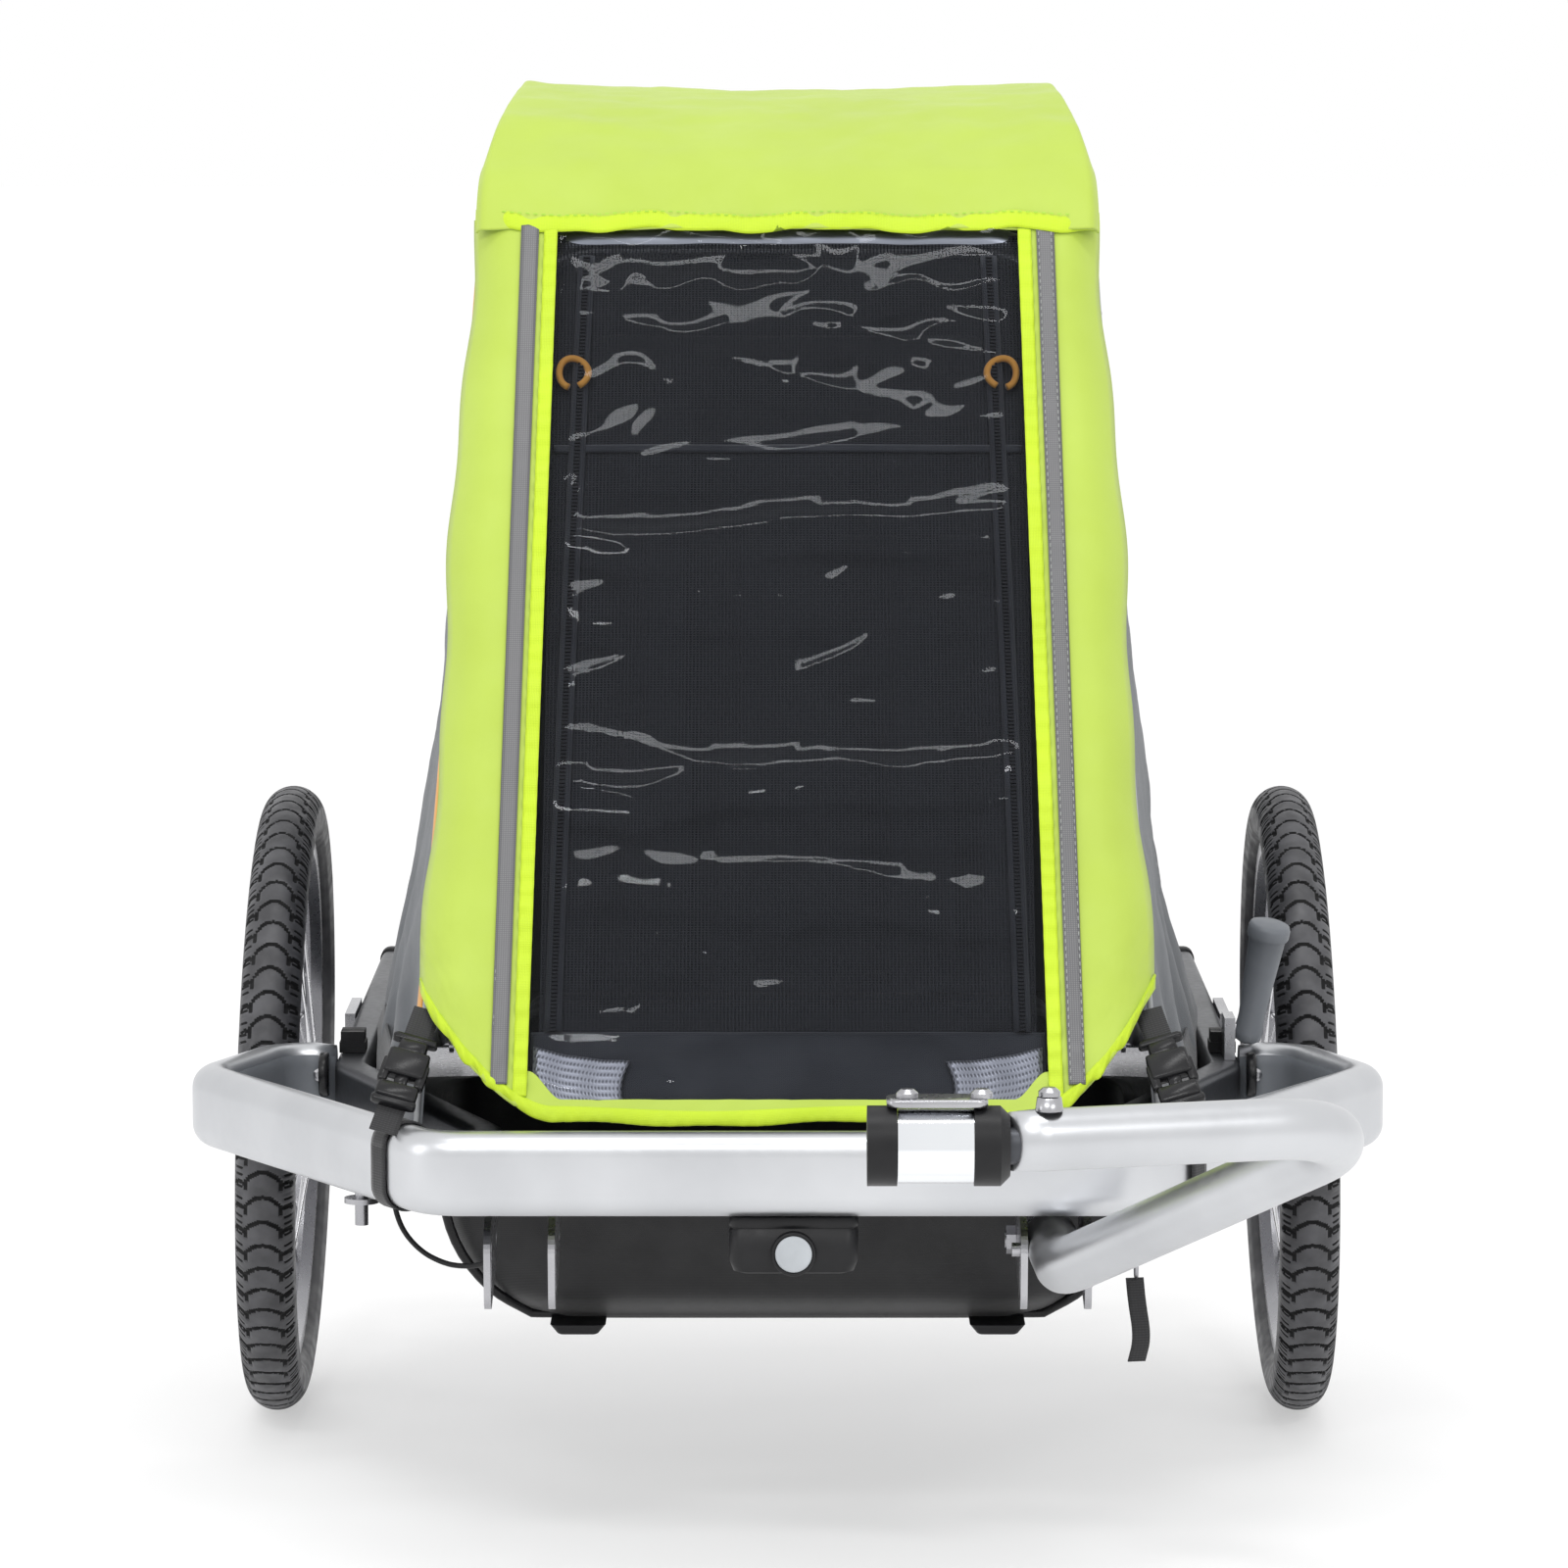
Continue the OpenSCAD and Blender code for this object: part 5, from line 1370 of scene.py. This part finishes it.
def build_socket():
    """The jogger-arm socket: a stepped block with rounded corners and a parting line."""
    c = at(4, -654, 253)
    levels = [(-0.0203, 0.82, 0.9), (-0.0190, 0.93, 0.96), (-0.012, 0.99, 1.0), (0.0105, 1, 1),
              (0.0112, 0.975, 0.965),
              (0.0122, 0.975, 0.965), (0.0129, 1, 1), (0.0188, 1, 1), (0.0202, 0.95, 0.95)]
    outline = rounded_box(0.091, 0.0615, 0.009, 7)
    verts = [c + Vector((a * kx, b * ky, z)) for z, kx, ky in levels for a, b in outline]
    m, n = len(outline), len(levels)
    faces = grid_faces(n, m, close=True)
    top = [c + Vector((a * 0.6, b * 0.6, 0.0202)) for a, b in outline]
    base = len(verts)
    verts += top
    faces += [((n - 1) * m + k, (n - 1) * m + (k + 1) % m, base + (k + 1) % m, base + k) for k in range(m)]
    faces.append(tuple(base + k for k in range(m)))
    # the open mouth underneath, with the bore's lip
    bore = at(4, -649, 232.7)
    ring = [bore + Vector((0.0127 * math.cos(2 * math.pi * k / m), 0.0127 * math.sin(2 * math.pi * k / m), 0))
            for k in range(m)]
    deep = [p + Vector((0, 0, 0.030)) for p in ring]
    base = len(verts)
    verts += ring + deep
    faces += [(k, base + k, base + (k + 1) % m, (k + 1) % m) for k in range(m)]
    faces += [(base + k, base + m + k, base + m + (k + 1) % m, base + (k + 1) % m) for k in range(m)]
    faces.append(tuple(base + m + k for k in range(m)))
    # a low collar round the button, deep enough for its travel
    collar = lathe([(0.0052, 0.0134), (0.0006, 0.0134), (0.0001, 0.0138), (0, 0.0149), (0.0007, 0.0156),
                    (0.0052, 0.0160)], at(4, -689.8, 247.5), at(4, -680, 247.5), 48)
    verts, faces = join([(verts, faces), collar])
    piece("socket_block", verts, faces, "black", "chassis", ("jogger_socket",))
    profile = [(0, 0), (0.0005, 0.0088), (0, 0.0106), (0.0002, 0.0122), (0.0007, 0.0129), (0.0010, 0.0130),
               (0.0011, 0)]
    v, f = lathe(profile, at(4, -690, 247.5), at(4, -680, 247.5), 48)
    piece("button_cap", v, f, "button", "socket_button", ("socket_button",))


def build_lever():
    """The brake lever's handle."""
    lean = math.radians(12)
    pivot = at(350, -282, 348)
    line = unit(Vector((0.17, -math.sin(lean), math.cos(lean))))
    profile = [(-0.0115, 0), (-0.0112, 0.006), (-0.0085, 0.0102), (-0.002, 0.0112), (0.006, 0.0102), (0.011, 0.0100),
               (0.03, 0.0113), (0.055, 0.0128), (0.0722, 0.0139), (0.0735, 0.0152), (0.0755, 0.0160),
               (0.0815, 0.0160), (0.0842, 0.0150), (0.0852, 0.0125), (0.0856, 0)]
    v, f = lathe(profile, pivot, pivot + line, 44)
    piece("lever_handle", v, f, "grey", "brake_lever", ("brake_lever",))


def build_lock_straps():
    """The strap that keeps the lock pin: one end stays on the frame, the other goes with the pin."""
    strap_ribbon("lock_strap_short", [at(238, -600, 290), at(240, -598, 262), at(243.5, -589, 232)], 0.012,
                 Vector((0.7, 0.6, 0.2)).normalized(), "cover_straps")
    strap_ribbon("lock_strap_tail",
                 [at(248.5, -586, 212), at(250, -590, 195), at(254, -594, 170), at(250, -590, 152)],
                 0.013, Vector((0.95, 0.2, 0)).normalized(), None, "lock_pin")


# ---------------------------------------------------------------- CAD nodes kept: better materials
def dress_cad():
    """Looks for the CAD nodes that stay as they are."""
    kept = {"steel": ("axle_plates", "axle_pins", "pivot_bolt", "hinge_pins", "push_pins", "bumper_bolts",
                      "lock_pin", "lock_ring", "brake_bracket", "hook_plates_left", "hook_plates_right",
                      "rail_studs", "hitch_bolts", "axle_tube", "front_crossbar", "rear_crossbar", "seat_board"),
            "dark_steel": ("hitch_yoke", "hitch_core"),
            "chrome": ("hitch_sleeve",),
            "rim": ("left_rim", "right_rim", "left_hub", "right_hub"),
            "spoke": ("left_spokes", "right_spokes", "left_valve", "right_valve"),
            "black": ("hitch_caps", "rail_clips", "hinge_bosses", "push_brackets")}
    for look, names in kept.items():
        for name in names:
            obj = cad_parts.get(name)
            for slot in obj.material_slots if obj else ():
                slot.material = LOOKS[look]


# ---------------------------------------------------------------- cords, and a list of the cover's sewn pieces
def curved(points, per=8):
    """A smooth line through points (Catmull-Rom), which are in the row frame."""
    line = []
    ends = [points[0] * 2 - points[1]] + points + [points[-1] * 2 - points[-2]]
    for a, b, c, d in zip(ends, ends[1:], ends[2:], ends[3:]):
        for k in range(per):
            t = k / per
            line.append(0.5 * (2 * b + (c - a) * t + (2 * a - 5 * b + 4 * c - d) * t * t
                               + (3 * b - a - 3 * c + d) * t ** 3))
    return line + [points[-1]]


def build_cord(name, route):
    """A cord between two fixed ends; its length is this line's own, not a cut length."""
    line = curved([at(*p) for p in route])
    cord = rod(name + "_run", line, 0.002, 14, "black", name)


def build_cords():
    build_cord("retaining_wire", [(-287, -462, 283.5), (-289, -466, 262), (-288, -470, 244), (-281, -475, 226),
                                  (-267, -482, 212), (-249, -492, 205), (-232, -502, 205), (-218.4, -512, 209)])
    build_cord("brake_cable", [(339.5, -262, 338), (346, -259, 340), (352, -247, 338), (356, -228, 331),
                               (357, -205, 321), (357, -175, 311), (357, -145, 303), (356, -115, 298),
                               (353, -88, 294), (349, -66, 291), (347, -45.4, 290)])


def declare_cover():
    """The names of the pieces sewn to each side of the cover, listed; the list is not used."""
    for tag in ("left", "right"):
        sewn = [f"{part}_{tag}" for part in ("cover_edging", "cover_stripe")]
        sewn += [f"stripe_stitches_{tag}_{k}" for k in (0, 1)]
        sewn += ["cover_hem", "cover_bottom_strip"] if tag == "left" else []


LOOKS = build_looks()
build_stage()
build_cords()
dress_cad()
build_cover()
build_window()
build_sides()
build_frame()
build_push_bar()
build_axle()
build_tyres()
build_seats()
build_bag()
build_tub()
build_feet()
build_straps()
build_socket()
build_lever()
build_lock_straps()
declare_cover()
